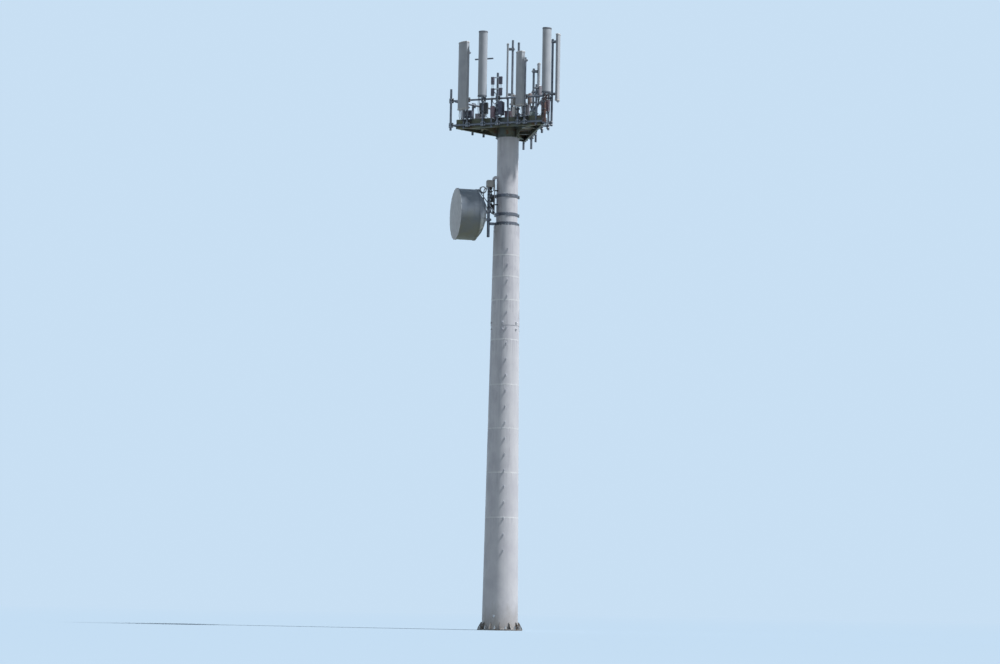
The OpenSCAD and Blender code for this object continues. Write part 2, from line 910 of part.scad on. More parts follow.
// Radio box clamped round the top of the dish's pipe
module dish_radio() {
    box_w = 260;
    box_h = 270;
    color([0.70, 0.72, 0.75]) on_dish()
        translate([dish_pipe_r, 0, dish_pipe_rise + dish_pipe_l / 2 - box_h])
            difference() {
                union() {
                    translate([-130, -box_w / 2, 0])
                        cube([220, box_w, box_h]);
                    for (y = [-box_w / 2 : 26 : box_w / 2 - fin_t])
                        translate([-130 - fin_h, y, 10])
                            cube([fin_h + 1, fin_t, box_h - 20]);
                }
                translate([0, 0, -through])
                    cylinder(d = dish_pipe_d + 2 * seat, h = box_h + 2 * through);
            }
}

// Small amplifiers in pairs on two crossbars, at the top of the middle pipe of the front face
module radio_stack() {
    tiers = [1235, 1690];
    bar = 40;
    bar_l = 460;
    box_w = 130;
    box_h = 300;
    box_d = 90;
    bar_out = pipe_d / 2 + seat;
    color([0.62, 0.62, 0.66]) on_pipe(3, 0)
        for (z = tiers) {
            translate([bar_out, -bar_l / 2, z])
                cube([bar, bar_l, bar]);
            for (y = [-bar_l / 2, bar_l / 2 - box_w]) {
                translate([bar_out + bar, y, z + bar - box_h])
                    cube([box_d, box_w, box_h]);
                for (k = [0.3, 0.7])
                    translate([bar_out + bar + box_d / 2, y + k * box_w, z + bar - box_h - port_l])
                        cylinder(d = port_d, h = port_l);
            }
        }
}

// A cast housing with cooling fins on its outer side and connectors under it
module radio(w, d, h) {
    shell = d - fin_h;
    count = floor((w - fin_t) / fin_pitch);
    first = -(count * fin_pitch + fin_t) / 2;
    linear_extrude(h)
        union() {
            translate([0, -w / 2])
                square([shell, w]);
            for (i = [0 : count])
                translate([shell - 1, first + i * fin_pitch])
                    square([fin_h + 1, fin_t]);
        }
    for (k = port_places)
        translate([d * 0.35, k * w / 5, -port_l])
            cylinder(d = port_d, h = port_l);
}

// Radio units on the pipes, and the cabinets on the deck in which the feeders end
module radio_units() {
    color([0.84, 0.84, 0.82]) {
        for (u = radio_specs)
            on_pipe(u[0], u[1])
                translate([pipe_d / 2 + radio_gap, 0, u[2]])
                    radio(u[3], u[4], u[5]);
        for (c = cabinets)
            on_face(c[0])
                translate([c[1], c[2] - c[4] / 2, deck_z])
                    cube([c[3], c[4], c[5]]);
    }
}

function unit(v) = v / norm(v);

// The route with each corner rounded over a length of r each way
function rounded_route(pts, r, steps = 5) = [
    for (i = [0 : len(pts) - 1])
        if (i == 0 || i == len(pts) - 1)
            pts[i]
        else
            let (
                a = pts[i] + r * unit(pts[i - 1] - pts[i]),
                b = pts[i] + r * unit(pts[i + 1] - pts[i])
            )
            for (k = [0 : steps])
                let (t = k / steps)
                    (1 - t) * (1 - t) * a + 2 * t * (1 - t) * pts[i] + t * t * b
];

// A round cable swept along a route, as rings of flat sides
module cable(points, d, bend, sides = 10, steps = 5) {
    path = rounded_route(points, bend, steps);
    last = len(path) - 1;
    across = [0.21, 0.35, 0.91];
    rings = [
        for (i = [0 : last])
            let (
                t = unit(path[min(i + 1, last)] - path[max(i - 1, 0)]),
                u = unit(cross(across, t)),
                v = cross(t, u)
            )
            for (k = [0 : sides - 1])
                path[i] + d / 2 * (cos(k * 360 / sides) * u + sin(k * 360 / sides) * v)
    ];
    walls = [
        for (i = [0 : last - 1])
            for (k = [0 : sides - 1])
                let (n = (k + 1) % sides)
                    [i * sides + k, i * sides + n, (i + 1) * sides + n, (i + 1) * sides + k]
    ];
    start_cap = [for (k = [sides - 1 : -1 : 0]) k];
    end_cap = [for (k = [0 : sides - 1]) last * sides + k];
    polyhedron(points = rings, faces = concat([start_cap], walls, [end_cap]));
}

// Feeders laid on the deck, from the hub to the cabinets
module feeder_cables() {
    bend = 140;
    z = deck_z + feeder_d / 2 + seat;
    starts = [[-330, -240], [60, -400], [400, -130]];
    color([0.16, 0.16, 0.18])
        for (i = [0 : len(cabinets) - 1]) {
            c = cabinets[i];
            cable([
                [starts[i][0], starts[i][1], z],
                face_place(c[0], [c[1] - 320, c[2], z]),
                face_place(c[0], [c[1] - seat, c[2], z])
            ], feeder_d, bend);
        }
}

// Jumpers that hang from a panel's connectors, pass its pipe and rise into a radio unit
module jumper_cables() {
    bend = 40;
    beside = pipe_d / 2 + jumper_d / 2 + 30;
    last = len(port_places) - 1;
    color([0.16, 0.16, 0.18])
        for (j = jumper_sets)
            for (k = [0 : last]) {
                unit_spec = radio_specs[j[1]];
                m = last - k;
                outer = abs(port_places[m]) == 2;
                start = panel_port(panel_specs[j[0]], k);
                end = radio_port(unit_spec, m);
                low = end[2] - jumper_drop - (outer ? 34 : 0);
                away = sign(port_places[m]) * (beside + (outer ? 30 : 0));
                passing = pipe_place(unit_spec[0], unit_spec[1], [0, away, low - deck_z]);
                cable([
                    start, [start[0], start[1], low], passing, [end[0], end[1], low], end
                ], jumper_d, bend, 8, 3);
            }
}

base_flange();
base_gussets();
lower_shaft();
upper_shaft();
port_cover();
step_lugs();
shaft_cap();
extension_tube();
headframe_hub();
radial_arms();
edge_beam_front();
edge_beam_right();
edge_beam_back();
deck_plates();
toe_boards();
guard_rail_front();
guard_rail_right();
guard_rail_back();
pipes_front();
pipes_right();
pipes_back();
clamps_front();
clamps_right();
clamps_back();
outriggers();
panel_left_wide();
panel_left_tall();
panel_back();
panel_middle();
panel_right_tall();
panel_right_outer();
panel_right_short();
dish_collars();
dish_arms();
dish_pipe();
dish_yoke();
dish_reflector();
dish_drum();
dish_radome();
dish_radio();
radio_stack();
radio_units();
feeder_cables();
jumper_cables();
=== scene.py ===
import math
import random
import bmesh
import bpy
from mathutils import Matrix, Vector


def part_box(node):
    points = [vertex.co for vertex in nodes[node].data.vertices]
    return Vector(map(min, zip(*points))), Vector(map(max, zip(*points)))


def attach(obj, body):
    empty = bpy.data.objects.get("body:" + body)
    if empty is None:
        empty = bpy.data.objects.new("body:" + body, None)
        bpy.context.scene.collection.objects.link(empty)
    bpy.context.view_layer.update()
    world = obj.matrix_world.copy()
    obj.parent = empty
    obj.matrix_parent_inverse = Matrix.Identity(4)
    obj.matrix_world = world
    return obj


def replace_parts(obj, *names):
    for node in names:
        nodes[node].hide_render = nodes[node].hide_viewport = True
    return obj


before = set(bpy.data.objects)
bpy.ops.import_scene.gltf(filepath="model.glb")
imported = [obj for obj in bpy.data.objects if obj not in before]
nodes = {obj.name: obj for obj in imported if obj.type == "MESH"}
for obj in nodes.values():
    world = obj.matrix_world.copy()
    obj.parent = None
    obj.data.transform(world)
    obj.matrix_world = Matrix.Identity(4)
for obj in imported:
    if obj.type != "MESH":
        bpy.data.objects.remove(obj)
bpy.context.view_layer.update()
scene = bpy.context.scene
randomDraw = random.Random(41)
print("frame loaded with", len(nodes), "nodes")


# Shader helpers
def fillInputs(tree, made, inputs):
    for name, value in inputs.items():
        socket = made.inputs[name]
        if isinstance(value, bpy.types.NodeSocket):
            tree.links.new(value, socket)
        else:
            socket.default_value = (*value, 1) if socket.type == "RGBA" else value
    return made


def addNode(tree, kind, inputs=None, **settings):
    made = tree.nodes.new(kind)
    for name, value in settings.items():
        setattr(made, name, value)
    return fillInputs(tree, made, inputs or {})


def calculated(tree, operation, first, second=0.0, clamped=False):
    inputs = {0: first, 1: second}
    return addNode(tree, "ShaderNodeMath", inputs, operation=operation, use_clamp=clamped).outputs[0]


def mixedColour(tree, factor, first, second):
    # the sixth and seventh inputs and the second output are the colour ones
    inputs = {0: factor, 6: first, 7: second}
    return addNode(tree, "ShaderNodeMix", inputs, data_type="RGBA").outputs[2]


def ranged(tree, value, low, high, toLow=0.0, toHigh=1.0):
    inputs = {"Value": value, "From Min": low, "From Max": high, "To Min": toLow, "To Max": toHigh}
    return addNode(tree, "ShaderNodeMapRange", inputs).outputs["Result"]


def noise(tree, coords, scale, stretch=(1, 1, 1), detail=4.0, roughness=0.55):
    placed = addNode(tree, "ShaderNodeMapping", {"Vector": coords, "Scale": stretch}).outputs[0]
    inputs = {"Vector": placed, "Scale": scale, "Detail": detail, "Roughness": roughness}
    return addNode(tree, "ShaderNodeTexNoise", inputs).outputs["Fac"]


def bumped(tree, height, strength, depth):
    inputs = {"Height": height, "Strength": strength, "Distance": depth}
    return addNode(tree, "ShaderNodeBump", inputs).outputs[0]


def heightOf(tree, coords):
    return addNode(tree, "ShaderNodeSeparateXYZ", {0: coords}).outputs["Z"]


def newFinish(name):
    finish = bpy.data.materials.new(name)
    finish.use_nodes = True
    tree = finish.node_tree
    coords = addNode(tree, "ShaderNodeTexCoord").outputs["Object"]
    return finish, tree, tree.nodes["Principled BSDF"], coords


def meshFrom(bm, name):
    mesh = bpy.data.meshes.new(name)
    bm.to_mesh(mesh)
    bm.free()
    return mesh


def placeObject(name, data):
    made = bpy.data.objects.new(name, data)
    scene.collection.objects.link(made)
    return made


# Camera, light and floor
stageSettings = {
    "cameraPlace": (0.0, -91.0, 0.898), "pitch": 6.72, "yaw": -0.12, "roll": 1.0,
    "lens": 84.0, "farthest": 2000.0,
    "sunHeading": (0.975, -0.22), "sunHeight": 56.0, "sunStrength": 3.75, "sunSoftness": 4.0,
    "fillColour": (0.76, 0.88, 1.0), "fillStrength": 0.21, "backdropColour": (0.58, 0.74, 0.90),
    "floorColour": (0.485, 0.62, 0.75), "floorBounce": (0.20, 0.20, 0.19), "floorRough": 0.9,
    "floorFade": (25.0, 220.0), "floorSize": 1600.0,
}


def viewMatrix(place, pitch, yaw, roll):
    pitch, yaw, roll = math.radians(pitch), math.radians(yaw), math.radians(roll)
    ahead = Vector((math.sin(yaw) * math.cos(pitch), math.cos(yaw) * math.cos(pitch), math.sin(pitch)))
    level = Vector((math.cos(yaw), -math.sin(yaw), 0.0))
    above = level.cross(ahead)
    side = math.cos(roll) * level + math.sin(roll) * above
    top = math.cos(roll) * above - math.sin(roll) * level
    turned = Matrix((side, top, -ahead)).transposed().to_4x4()
    return Matrix.Translation(place) @ turned


def seenByCamera(tree):
    # 1 for what the camera sees, also in a reflection or through glass
    rays = addNode(tree, "ShaderNodeLightPath").outputs
    seen = calculated(tree, "ADD", rays["Is Camera Ray"], rays["Is Glossy Ray"])
    return calculated(tree, "ADD", seen, rays["Is Transmission Ray"], True)


def makeStage(s):
    camera = placeObject("camera", bpy.data.cameras.new("camera"))
    camera.data.lens = s["lens"]
    camera.data.clip_end = s["farthest"]
    camera.matrix_world = viewMatrix(s["cameraPlace"], s["pitch"], s["yaw"], s["roll"])
    scene.camera = camera

    height = math.radians(s["sunHeight"])
    heading = Vector(s["sunHeading"]).normalized() * math.cos(height)
    sun = placeObject("key_light", bpy.data.lights.new("key_light", "SUN"))
    sun.data.energy = s["sunStrength"]
    sun.data.angle = math.radians(s["sunSoftness"])
    sun.rotation_euler = Vector((*heading, math.sin(height))).to_track_quat("Z", "Y").to_euler()

    world = bpy.data.worlds.new("studio")
    scene.world = world
    world.use_nodes = True
    tree = world.node_tree
    tree.nodes.clear()
    fill = addNode(tree, "ShaderNodeBackground", {"Color": s["fillColour"], "Strength": s["fillStrength"]})
    back = addNode(tree, "ShaderNodeBackground", {"Color": s["backdropColour"], "Strength": 1.0})
    seen = seenByCamera(tree)
    mixed = addNode(tree, "ShaderNodeMixShader", {0: seen, 1: fill.outputs[0], 2: back.outputs[0]})
    addNode(tree, "ShaderNodeOutputWorld", {"Surface": mixed.outputs[0]})

    paper, tree, shader, coords = newFinish("studio_floor")
    seen = seenByCamera(tree)
    paint = mixedColour(tree, seen, s["floorBounce"], s["floorColour"])
    fillInputs(tree, shader, {"Base Color": paint, "Roughness": s["floorRough"], "Specular IOR Level": 0.0})
    # far out the floor turns into the backdrop, so that no horizon shows
    far = addNode(tree, "ShaderNodeVectorMath", {0: coords}, operation="LENGTH").outputs["Value"]
    amount = calculated(tree, "MULTIPLY", ranged(tree, far, *s["floorFade"]), seen)
    glow = addNode(tree, "ShaderNodeEmission", {"Color": s["backdropColour"], "Strength": 1.0})
    blend = addNode(tree, "ShaderNodeMixShader", {0: amount, 1: shader.outputs[0], 2: glow.outputs[0]})
    fillInputs(tree, tree.nodes["Material Output"], {"Surface": blend.outputs[0]})
    bm = bmesh.new()
    bmesh.ops.create_grid(bm, x_segments=1, y_segments=1, size=s["floorSize"] / 2)
    floor = placeObject("studio_floor", meshFrom(bm, "studio_floor"))
    floor.data.materials.append(paper)

    scene.view_settings.view_transform = "Standard"


makeStage(stageSettings)
print("stage ready")

# Values that all weathered finishes share: noise detail, and where each mask begins and ends
wear = {
    "blotchDetail": 5.0, "blotch": (0.36, 0.64), "middling": (0.3, 0.7),
    "grainDetail": 3.0, "crystal": 0.35,
    "runNoise": ((1, 1, 0.05), 3.0, 0.6), "run": (0.5, 0.68),
    "patchScale": 0.6, "patchNoise": ((1, 1, 0.5), 2.0), "patch": (0.4, 0.6),
    "rustNoise": ((1, 1, 1), 7.0, 0.68), "rustEdge": 0.07, "rustColour": (0.20, 0.088, 0.036),
    "ragged": 0.25, "corner": (0.35, 0.95), "cornerSamples": 6, "roughSpread": 0.1,
}


def weatheredFinish(name, look):
    finish, tree, shader, coords = newFinish(name)
    blotch = noise(tree, coords, look["blotchScale"], detail=wear["blotchDetail"])
    colour = mixedColour(tree, ranged(tree, blotch, *wear["blotch"]), look["colour"], look["shade"])
    if "spangle" in look:
        cells = addNode(tree, "ShaderNodeTexVoronoi", {"Vector": coords, "Scale": look["spangle"]})
        crystal = ranged(tree, cells.outputs["Color"], 0.0, 1.0, 0.0, wear["crystal"])
        colour = mixedColour(tree, crystal, colour, look["shade"])
    if "streak" in look:
        run = ranged(tree, noise(tree, coords, look["streakScale"], *wear["runNoise"]), *wear["run"])
        patch = noise(tree, coords, look["blotchScale"] * wear["patchScale"], *wear["patchNoise"])
        amount = calculated(tree, "MULTIPLY", run, ranged(tree, patch, *wear["patch"]))
        amount = calculated(tree, "MULTIPLY", amount, look["streak"])
        colour = mixedColour(tree, amount, colour, look["streakColour"])
    if "rust" in look:
        spots = noise(tree, coords, look["rustScale"], *wear["rustNoise"])
        edge = (look["rustFrom"], look["rustFrom"] + wear["rustEdge"])
        amount = ranged(tree, spots, *edge, 0.0, look["rust"])
        colour = mixedColour(tree, amount, colour, wear["rustColour"])
    if "low" in look:
        # olive colour that grows towards the bottom: painted reflection of the grass below
        ragged = ranged(tree, blotch, *wear["middling"], -wear["ragged"], wear["ragged"])
        ragged = calculated(tree, "ADD", heightOf(tree, coords), ragged)
        amount = ranged(tree, ragged, *look["low"], look["lowAmount"], 0.0)
        colour = mixedColour(tree, amount, colour, look["lowColour"])
    # darker in corners and hollows by ambient occlusion: painted shade
    if "cornerShade" in look:
        reach = {"Distance": look["cornerShadeReach"]}
        corner = addNode(tree, "ShaderNodeAmbientOcclusion", reach, samples=wear["cornerSamples"])
        amount = ranged(tree, corner.outputs["AO"], *wear["corner"], look["cornerShade"], 0.0)
        colour = mixedColour(tree, amount, colour, look["cornerShadeColour"])
    spread = wear["roughSpread"]
    rough = ranged(tree, blotch, *wear["middling"], look["rough"] - spread, look["rough"] + spread)
    grain = noise(tree, coords, look["grainScale"], detail=wear["grainDetail"])
    relief = bumped(tree, grain, look["bump"], look["bumpDepth"])
    fillInputs(tree, shader, {
        "Base Color": colour, "Roughness": rough, "Metallic": look.get("metal", 0.0),
        "Specular IOR Level": look.get("specular", 0.5), "Normal": relief,
    })
    return finish


# Finishes, one dictionary to each. Those of one family start from the same values
capLook = {
    "blotchScale": 6.0, "grainScale": 200.0, "streak": 0.25, "streakScale": 16.0,
    "rough": 0.5, "bump": 0.15, "bumpDepth": 0.0006,
}
casingLook = {
    "blotchScale": 6.0, "grainScale": 220.0, "streak": 0.4, "streakScale": 18.0,
    "cornerShade": 0.5, "cornerShadeReach": 0.06, "rough": 0.5, "bump": 0.2, "bumpDepth": 0.0006,
}
stainedLook = {**casingLook, "streak": 0.5, "streakScale": 16.0}
cableLook = {"blotchScale": 9.0, "grainScale": 260.0, "rough": 0.5, "bump": 0.15, "bumpDepth": 0.0006}
guideLook = {"blotchScale": 9.0, "grainScale": 200.0, "rough": 0.5, "bump": 0.2, "bumpDepth": 0.001}
looks = {
    "galvanised": {
        "name": "galvanised_steel", "colour": (0.26, 0.29, 0.34), "shade": (0.16, 0.18, 0.22),
        "blotchScale": 5.0, "grainScale": 90.0, "spangle": 60.0,
        "streak": 0.5, "streakColour": (0.20, 0.20, 0.20), "streakScale": 14.0,
        "rust": 0.5, "rustScale": 7.0, "rustFrom": 0.66,
        "cornerShade": 0.55, "cornerShadeReach": 0.10, "cornerShadeColour": (0.10, 0.09, 0.08),
        "metal": 0.35, "rough": 0.55, "bump": 0.25, "bumpDepth": 0.002,
    },
    # the headframe steel is darkened to dark teal as painted shade, and its olive second tone is painted
    # reflection of the grass; its brown streaks and rust are stains
    "frameSteelShaded": {
        "name": "headframe_steel_shaded", "colour": (0.17, 0.21, 0.205), "shade": (0.23, 0.215, 0.10),
        "blotchScale": 1.7, "grainScale": 90.0,
        "streak": 0.7, "streakColour": (0.13, 0.09, 0.05), "streakScale": 7.0,
        "rust": 0.8, "rustScale": 3.0, "rustFrom": 0.55,
        "cornerShade": 0.75, "cornerShadeReach": 0.30, "cornerShadeColour": (0.035, 0.035, 0.028),
        "metal": 0.25, "rough": 0.6, "bump": 0.3, "bumpDepth": 0.002,
    },
    "bracket": {
        "name": "bracket_zinc", "colour": (0.25, 0.27, 0.31), "shade": (0.13, 0.14, 0.17),
        "blotchScale": 9.0, "grainScale": 120.0, "spangle": 90.0,
        "streak": 0.4, "streakColour": (0.14, 0.13, 0.12), "streakScale": 20.0,
        "rust": 0.6, "rustScale": 11.0, "rustFrom": 0.64,
        "cornerShade": 0.6, "cornerShadeReach": 0.08, "cornerShadeColour": (0.07, 0.06, 0.055),
        "metal": 0.4, "rough": 0.5, "bump": 0.25, "bumpDepth": 0.001,
    },
    "foot": {
        "name": "foot_plate_zinc", "colour": (0.40, 0.40, 0.40), "shade": (0.26, 0.255, 0.25),
        "blotchScale": 6.0, "grainScale": 110.0, "spangle": 50.0,
        "streak": 0.5, "streakColour": (0.19, 0.13, 0.09), "streakScale": 12.0,
        "rust": 0.85, "rustScale": 6.0, "rustFrom": 0.53,
        "cornerShade": 0.6, "cornerShadeReach": 0.12, "cornerShadeColour": (0.12, 0.09, 0.06),
        "metal": 0.3, "rough": 0.62, "bump": 0.35, "bumpDepth": 0.002,
    },
    "bolt": {
        "name": "bolt_zinc", "colour": (0.58, 0.59, 0.60), "shade": (0.36, 0.37, 0.38),
        "blotchScale": 30.0, "grainScale": 300.0, "rust": 0.7, "rustScale": 25.0, "rustFrom": 0.62,
        "metal": 0.8, "rough": 0.38, "bump": 0.2, "bumpDepth": 0.0005,
    },
    "panel": {
        "name": "panel_radome_skin", "colour": (0.64, 0.69, 0.755), "shade": (0.54, 0.59, 0.66),
        "blotchScale": 2.2, "grainScale": 160.0,
        "streak": 0.35, "streakColour": (0.40, 0.41, 0.41), "streakScale": 12.0,
        "cornerShade": 0.35, "cornerShadeReach": 0.12, "cornerShadeColour": (0.25, 0.25, 0.24),
        "rough": 0.42, "bump": 0.12, "bumpDepth": 0.0006,
    },
    "cap": {
        **capLook, "name": "panel_end_cap",
        "colour": (0.77, 0.79, 0.82), "shade": (0.68, 0.70, 0.73),
        "streakColour": (0.45, 0.45, 0.44),
    },
    "capDark": {
        **capLook, "name": "panel_end_cap_dark",
        "colour": (0.24, 0.27, 0.32), "shade": (0.17, 0.19, 0.23),
        "streakColour": (0.33, 0.34, 0.35),
    },
    # the dish's blue-grey is darker than its real grey as painted shade from the headframe above; its olive
    # bottom is painted reflection of the grass, its streaks are stains
    "dishPaintShaded": {
        "name": "dish_paint", "colour": (0.38, 0.44, 0.52), "shade": (0.30, 0.36, 0.44),
        "blotchScale": 2.6, "grainScale": 140.0,
        "low": (15.25, 16.25), "lowColour": (0.27, 0.28, 0.17), "lowAmount": 0.75,
        "streak": 0.45, "streakColour": (0.34, 0.35, 0.35), "streakScale": 9.0,
        "cornerShade": 0.35, "cornerShadeReach": 0.12, "cornerShadeColour": (0.2, 0.2, 0.2),
        "rough": 0.58, "specular": 0.35, "bump": 0.1, "bumpDepth": 0.0008,
    },
    "unit": {
        **casingLook, "name": "unit_casing",
        "colour": (0.66, 0.665, 0.65), "shade": (0.54, 0.54, 0.53),
        "blotchScale": 5.0, "streakColour": (0.38, 0.36, 0.33), "cornerShadeColour": (0.2, 0.19, 0.18),
    },
    "unitDark": {
        **casingLook, "name": "unit_casing_dark",
        "colour": (0.15, 0.155, 0.165), "shade": (0.09, 0.095, 0.10),
        "streakColour": (0.24, 0.22, 0.20), "cornerShade": 0.4, "cornerShadeColour": (0.05, 0.05, 0.05), "rough": 0.55,
    },
    "unitBrown": {
        **casingLook, "name": "unit_casing_brown",
        "colour": (0.50, 0.43, 0.42), "shade": (0.34, 0.27, 0.26),
        "streak": 0.5, "streakColour": (0.22, 0.15, 0.12), "rust": 0.5, "rustScale": 9.0, "rustFrom": 0.60,
        "cornerShadeColour": (0.12, 0.09, 0.08), "rough": 0.55,
    },
    "unitTeal": {
        **casingLook, "name": "unit_casing_teal",
        "colour": (0.36, 0.44, 0.45), "shade": (0.25, 0.32, 0.33),
        "streakColour": (0.18, 0.20, 0.20), "cornerShadeColour": (0.08, 0.09, 0.09),
    },
    "unitLilac": {
        **casingLook, "name": "unit_casing_lilac",
        "colour": (0.58, 0.56, 0.62), "shade": (0.44, 0.42, 0.48),
        "streakColour": (0.28, 0.26, 0.28), "cornerShadeColour": (0.12, 0.11, 0.12),
    },
    # a white casing made brighter still: painted sunlight
    "unitWhiteSunlit": {
        **casingLook, "name": "unit_casing_white_sunlit",
        "colour": (0.84, 0.84, 0.85), "shade": (0.74, 0.74, 0.76),
        "streak": 0.5, "streakColour": (0.42, 0.33, 0.26), "streakScale": 14.0,
        "cornerShade": 0.4, "cornerShadeColour": (0.2, 0.18, 0.16), "rough": 0.45,
    },
    "amplifier": {
        **stainedLook, "name": "amplifier_casing",
        "colour": (0.33, 0.33, 0.42), "shade": (0.20, 0.20, 0.27),
        "streakColour": (0.42, 0.38, 0.42), "cornerShadeColour": (0.06, 0.06, 0.07),
    },
    "unitNavy": {
        **stainedLook, "name": "unit_casing_navy",
        "colour": (0.17, 0.18, 0.25), "shade": (0.10, 0.11, 0.16),
        "streakColour": (0.38, 0.34, 0.40), "cornerShadeColour": (0.04, 0.04, 0.05),
    },
    "unitPlum": {
        **stainedLook, "name": "unit_casing_plum",
        "colour": (0.35, 0.26, 0.31), "shade": (0.22, 0.15, 0.19),
        "streakColour": (0.50, 0.40, 0.42), "rust": 0.3, "rustScale": 9.0, "rustFrom": 0.60,
        "cornerShadeColour": (0.07, 0.05, 0.06), "rough": 0.55,
    },
    "cable": {
        **cableLook, "name": "cable_jacket",
        "colour": (0.030, 0.030, 0.034), "shade": (0.055, 0.054, 0.056),
    },
    "cableBrown": {
        **cableLook, "name": "cable_jacket_faded",
        "colour": (0.26, 0.16, 0.14), "shade": (0.13, 0.075, 0.07),
        "blotchScale": 7.0, "rough": 0.6,
    },
    "cableGrey": {
        **guideLook, "name": "waveguide_jacket",
        "colour": (0.50, 0.53, 0.56), "shade": (0.36, 0.39, 0.42),
    },
    "conduitPale": {
        **guideLook, "name": "conduit_jacket_pale",
        "colour": (0.74, 0.76, 0.78), "shade": (0.60, 0.62, 0.65),
    },
    "rubber": {
        "name": "rubber_cap", "colour": (0.045, 0.045, 0.048), "shade": (0.085, 0.083, 0.08),
        "blotchScale": 14.0, "grainScale": 300.0, "rough": 0.75, "bump": 0.2, "bumpDepth": 0.0006,
    },
}
finishes = {key: weatheredFinish(look["name"], look) for key, look in looks.items()}

# The shaft's paint. A noise is given as its scale, stretch, detail and roughness
shaftSettings = {
    "colour": (0.80, 0.80, 0.835), "shade": (0.69, 0.69, 0.74), "cloud": (1.5, (1, 1, 0.7), 5.0, 0.6),
    "cloudRange": (0.38, 0.64), "rough": (0.42, 0.62), "metal": 0.12,
    "smudge": 0.42, "smudgeColour": (0.44, 0.44, 0.50), "smudgeNoise": (3.4, (1, 1, 0.45), 6.0, 0.68),
    "smudgeRange": (0.53, 0.68),
    "streak": 0.36, "streakColour": (0.40, 0.40, 0.46), "streakNoise": (8.5, (1, 1, 0.03), 4.0, 0.62),
    "streakRange": (0.5, 0.7), "cleanBelow": (5.0, 12.5, 0.25, 1.0),
    "welds": [4.34, 6.08, 7.80, 9.51, 11.28, 12.84, 13.77, 14.62],
    # the pale lines at the welds are painted highlights of the weld beads
    "weldHighlight": 0.85, "weldHighlightColour": (0.90, 0.91, 0.93), "weldHighlightReach": (0.012, 0.035),
    "drip": 0.35, "dripNoise": (26.0, (1, 1, 0.02), 2.0, 0.5), "dripRange": (0.52, 0.66),
    "dripReach": (0.03, 0.75),
    "earth": (0.30, 0.26, 0.20), "earthReach": (0.1, 1.1), "earthAmount": 0.5, "earthRagged": 0.35,
    "wave": (2.2, (1, 1, 1), 2.0), "waveShare": 6.0, "grain": (120.0, (1, 1, 1), 3.0), "grainShare": 0.5,
    "bump": 0.35, "bumpDepth": 0.002,
}


def shaftFinish(name, look):
    finish, tree, shader, coords = newFinish(name)
    height = heightOf(tree, coords)
    cloud = noise(tree, coords, *look["cloud"])
    colour = mixedColour(tree, ranged(tree, cloud, *look["cloudRange"]), look["colour"], look["shade"])
    smudge = noise(tree, coords, *look["smudgeNoise"])
    run = noise(tree, coords, *look["streakNoise"])
    aloft = ranged(tree, height, *look["cleanBelow"])
    for mask, kind in ((smudge, "smudge"), (run, "streak")):
        amount = ranged(tree, mask, *look[kind + "Range"], 0.0, look[kind])
        amount = calculated(tree, "MULTIPLY", amount, aloft)
        colour = mixedColour(tree, amount, colour, look[kind + "Colour"])
    start, end = look["dripReach"]
    thread = ranged(tree, noise(tree, coords, *look["dripNoise"]), *look["dripRange"], 0.0, look["drip"])
    # at each weld a pale line, a painted highlight of the bead, and below it a stain that runs down
    for weld in look["welds"]:
        under = calculated(tree, "SUBTRACT", weld, height)
        line = ranged(tree, calculated(tree, "ABSOLUTE", under), *look["weldHighlightReach"], look["weldHighlight"], 0.0)
        colour = mixedColour(tree, line, colour, look["weldHighlightColour"])
        near, past = ranged(tree, under, 0.0, start), ranged(tree, under, start, end, 1.0, 0.0)
        drip = calculated(tree, "MULTIPLY", calculated(tree, "MULTIPLY", near, past), thread)
        colour = mixedColour(tree, drip, colour, look["streakColour"])
    ragged = ranged(tree, smudge, *wear["middling"], -look["earthRagged"], look["earthRagged"])
    ragged = calculated(tree, "ADD", height, ragged)
    splash = ranged(tree, ragged, *look["earthReach"], look["earthAmount"], 0.0)
    wave = calculated(tree, "MULTIPLY", noise(tree, coords, *look["wave"]), look["waveShare"])
    grain = calculated(tree, "MULTIPLY", noise(tree, coords, *look["grain"]), look["grainShare"])
    relief = calculated(tree, "ADD", wave, grain)
    fillInputs(tree, shader, {
        "Base Color": mixedColour(tree, splash, colour, look["earth"]), "Metallic": look["metal"],
        "Roughness": ranged(tree, cloud, *wear["middling"], *look["rough"]),
        "Normal": bumped(tree, relief, look["bump"], look["bumpDepth"]),
    })
    return finish


deckSettings = {
    "colour": (0.34, 0.34, 0.33), "shade": (0.22, 0.215, 0.20), "range": (0.36, 0.64),
    # the underside's olive tones are painted reflection of the grass below; its brown patches are rust
    "under": (0.36, 0.34, 0.24), "underShade": (0.20, 0.17, 0.11), "underRange": (0.40, 0.60),
    "underRust": (0.22, 0.115, 0.055), "underRustRange": (0.50, 0.62, 0.0, 0.7),
    "rust": (9.0, (1, 1, 1), 7.0, 0.68), "rustRange": (0.60, 0.68, 0.0, 0.7),
    "blotch": (3.0, (1, 1, 1), 6.0, 0.62), "patch": (1.3, (1, 1, 1), 3.0),
    "grain": (90.0, (1, 1, 1), 3.0), "grainShare": 0.25, "facingUp": (-0.5, 0.0), "raisedWhere": (0.5, 0.9),
    "lozenge": (14.0, 36.0, 1.0), "lozengeTurns": (45.0, -45.0), "lozengeEdge": (0.14, 0.24),
    "rough": 0.62, "metal": 0.2, "bump": 0.6, "bumpDepth": 0.003,
}


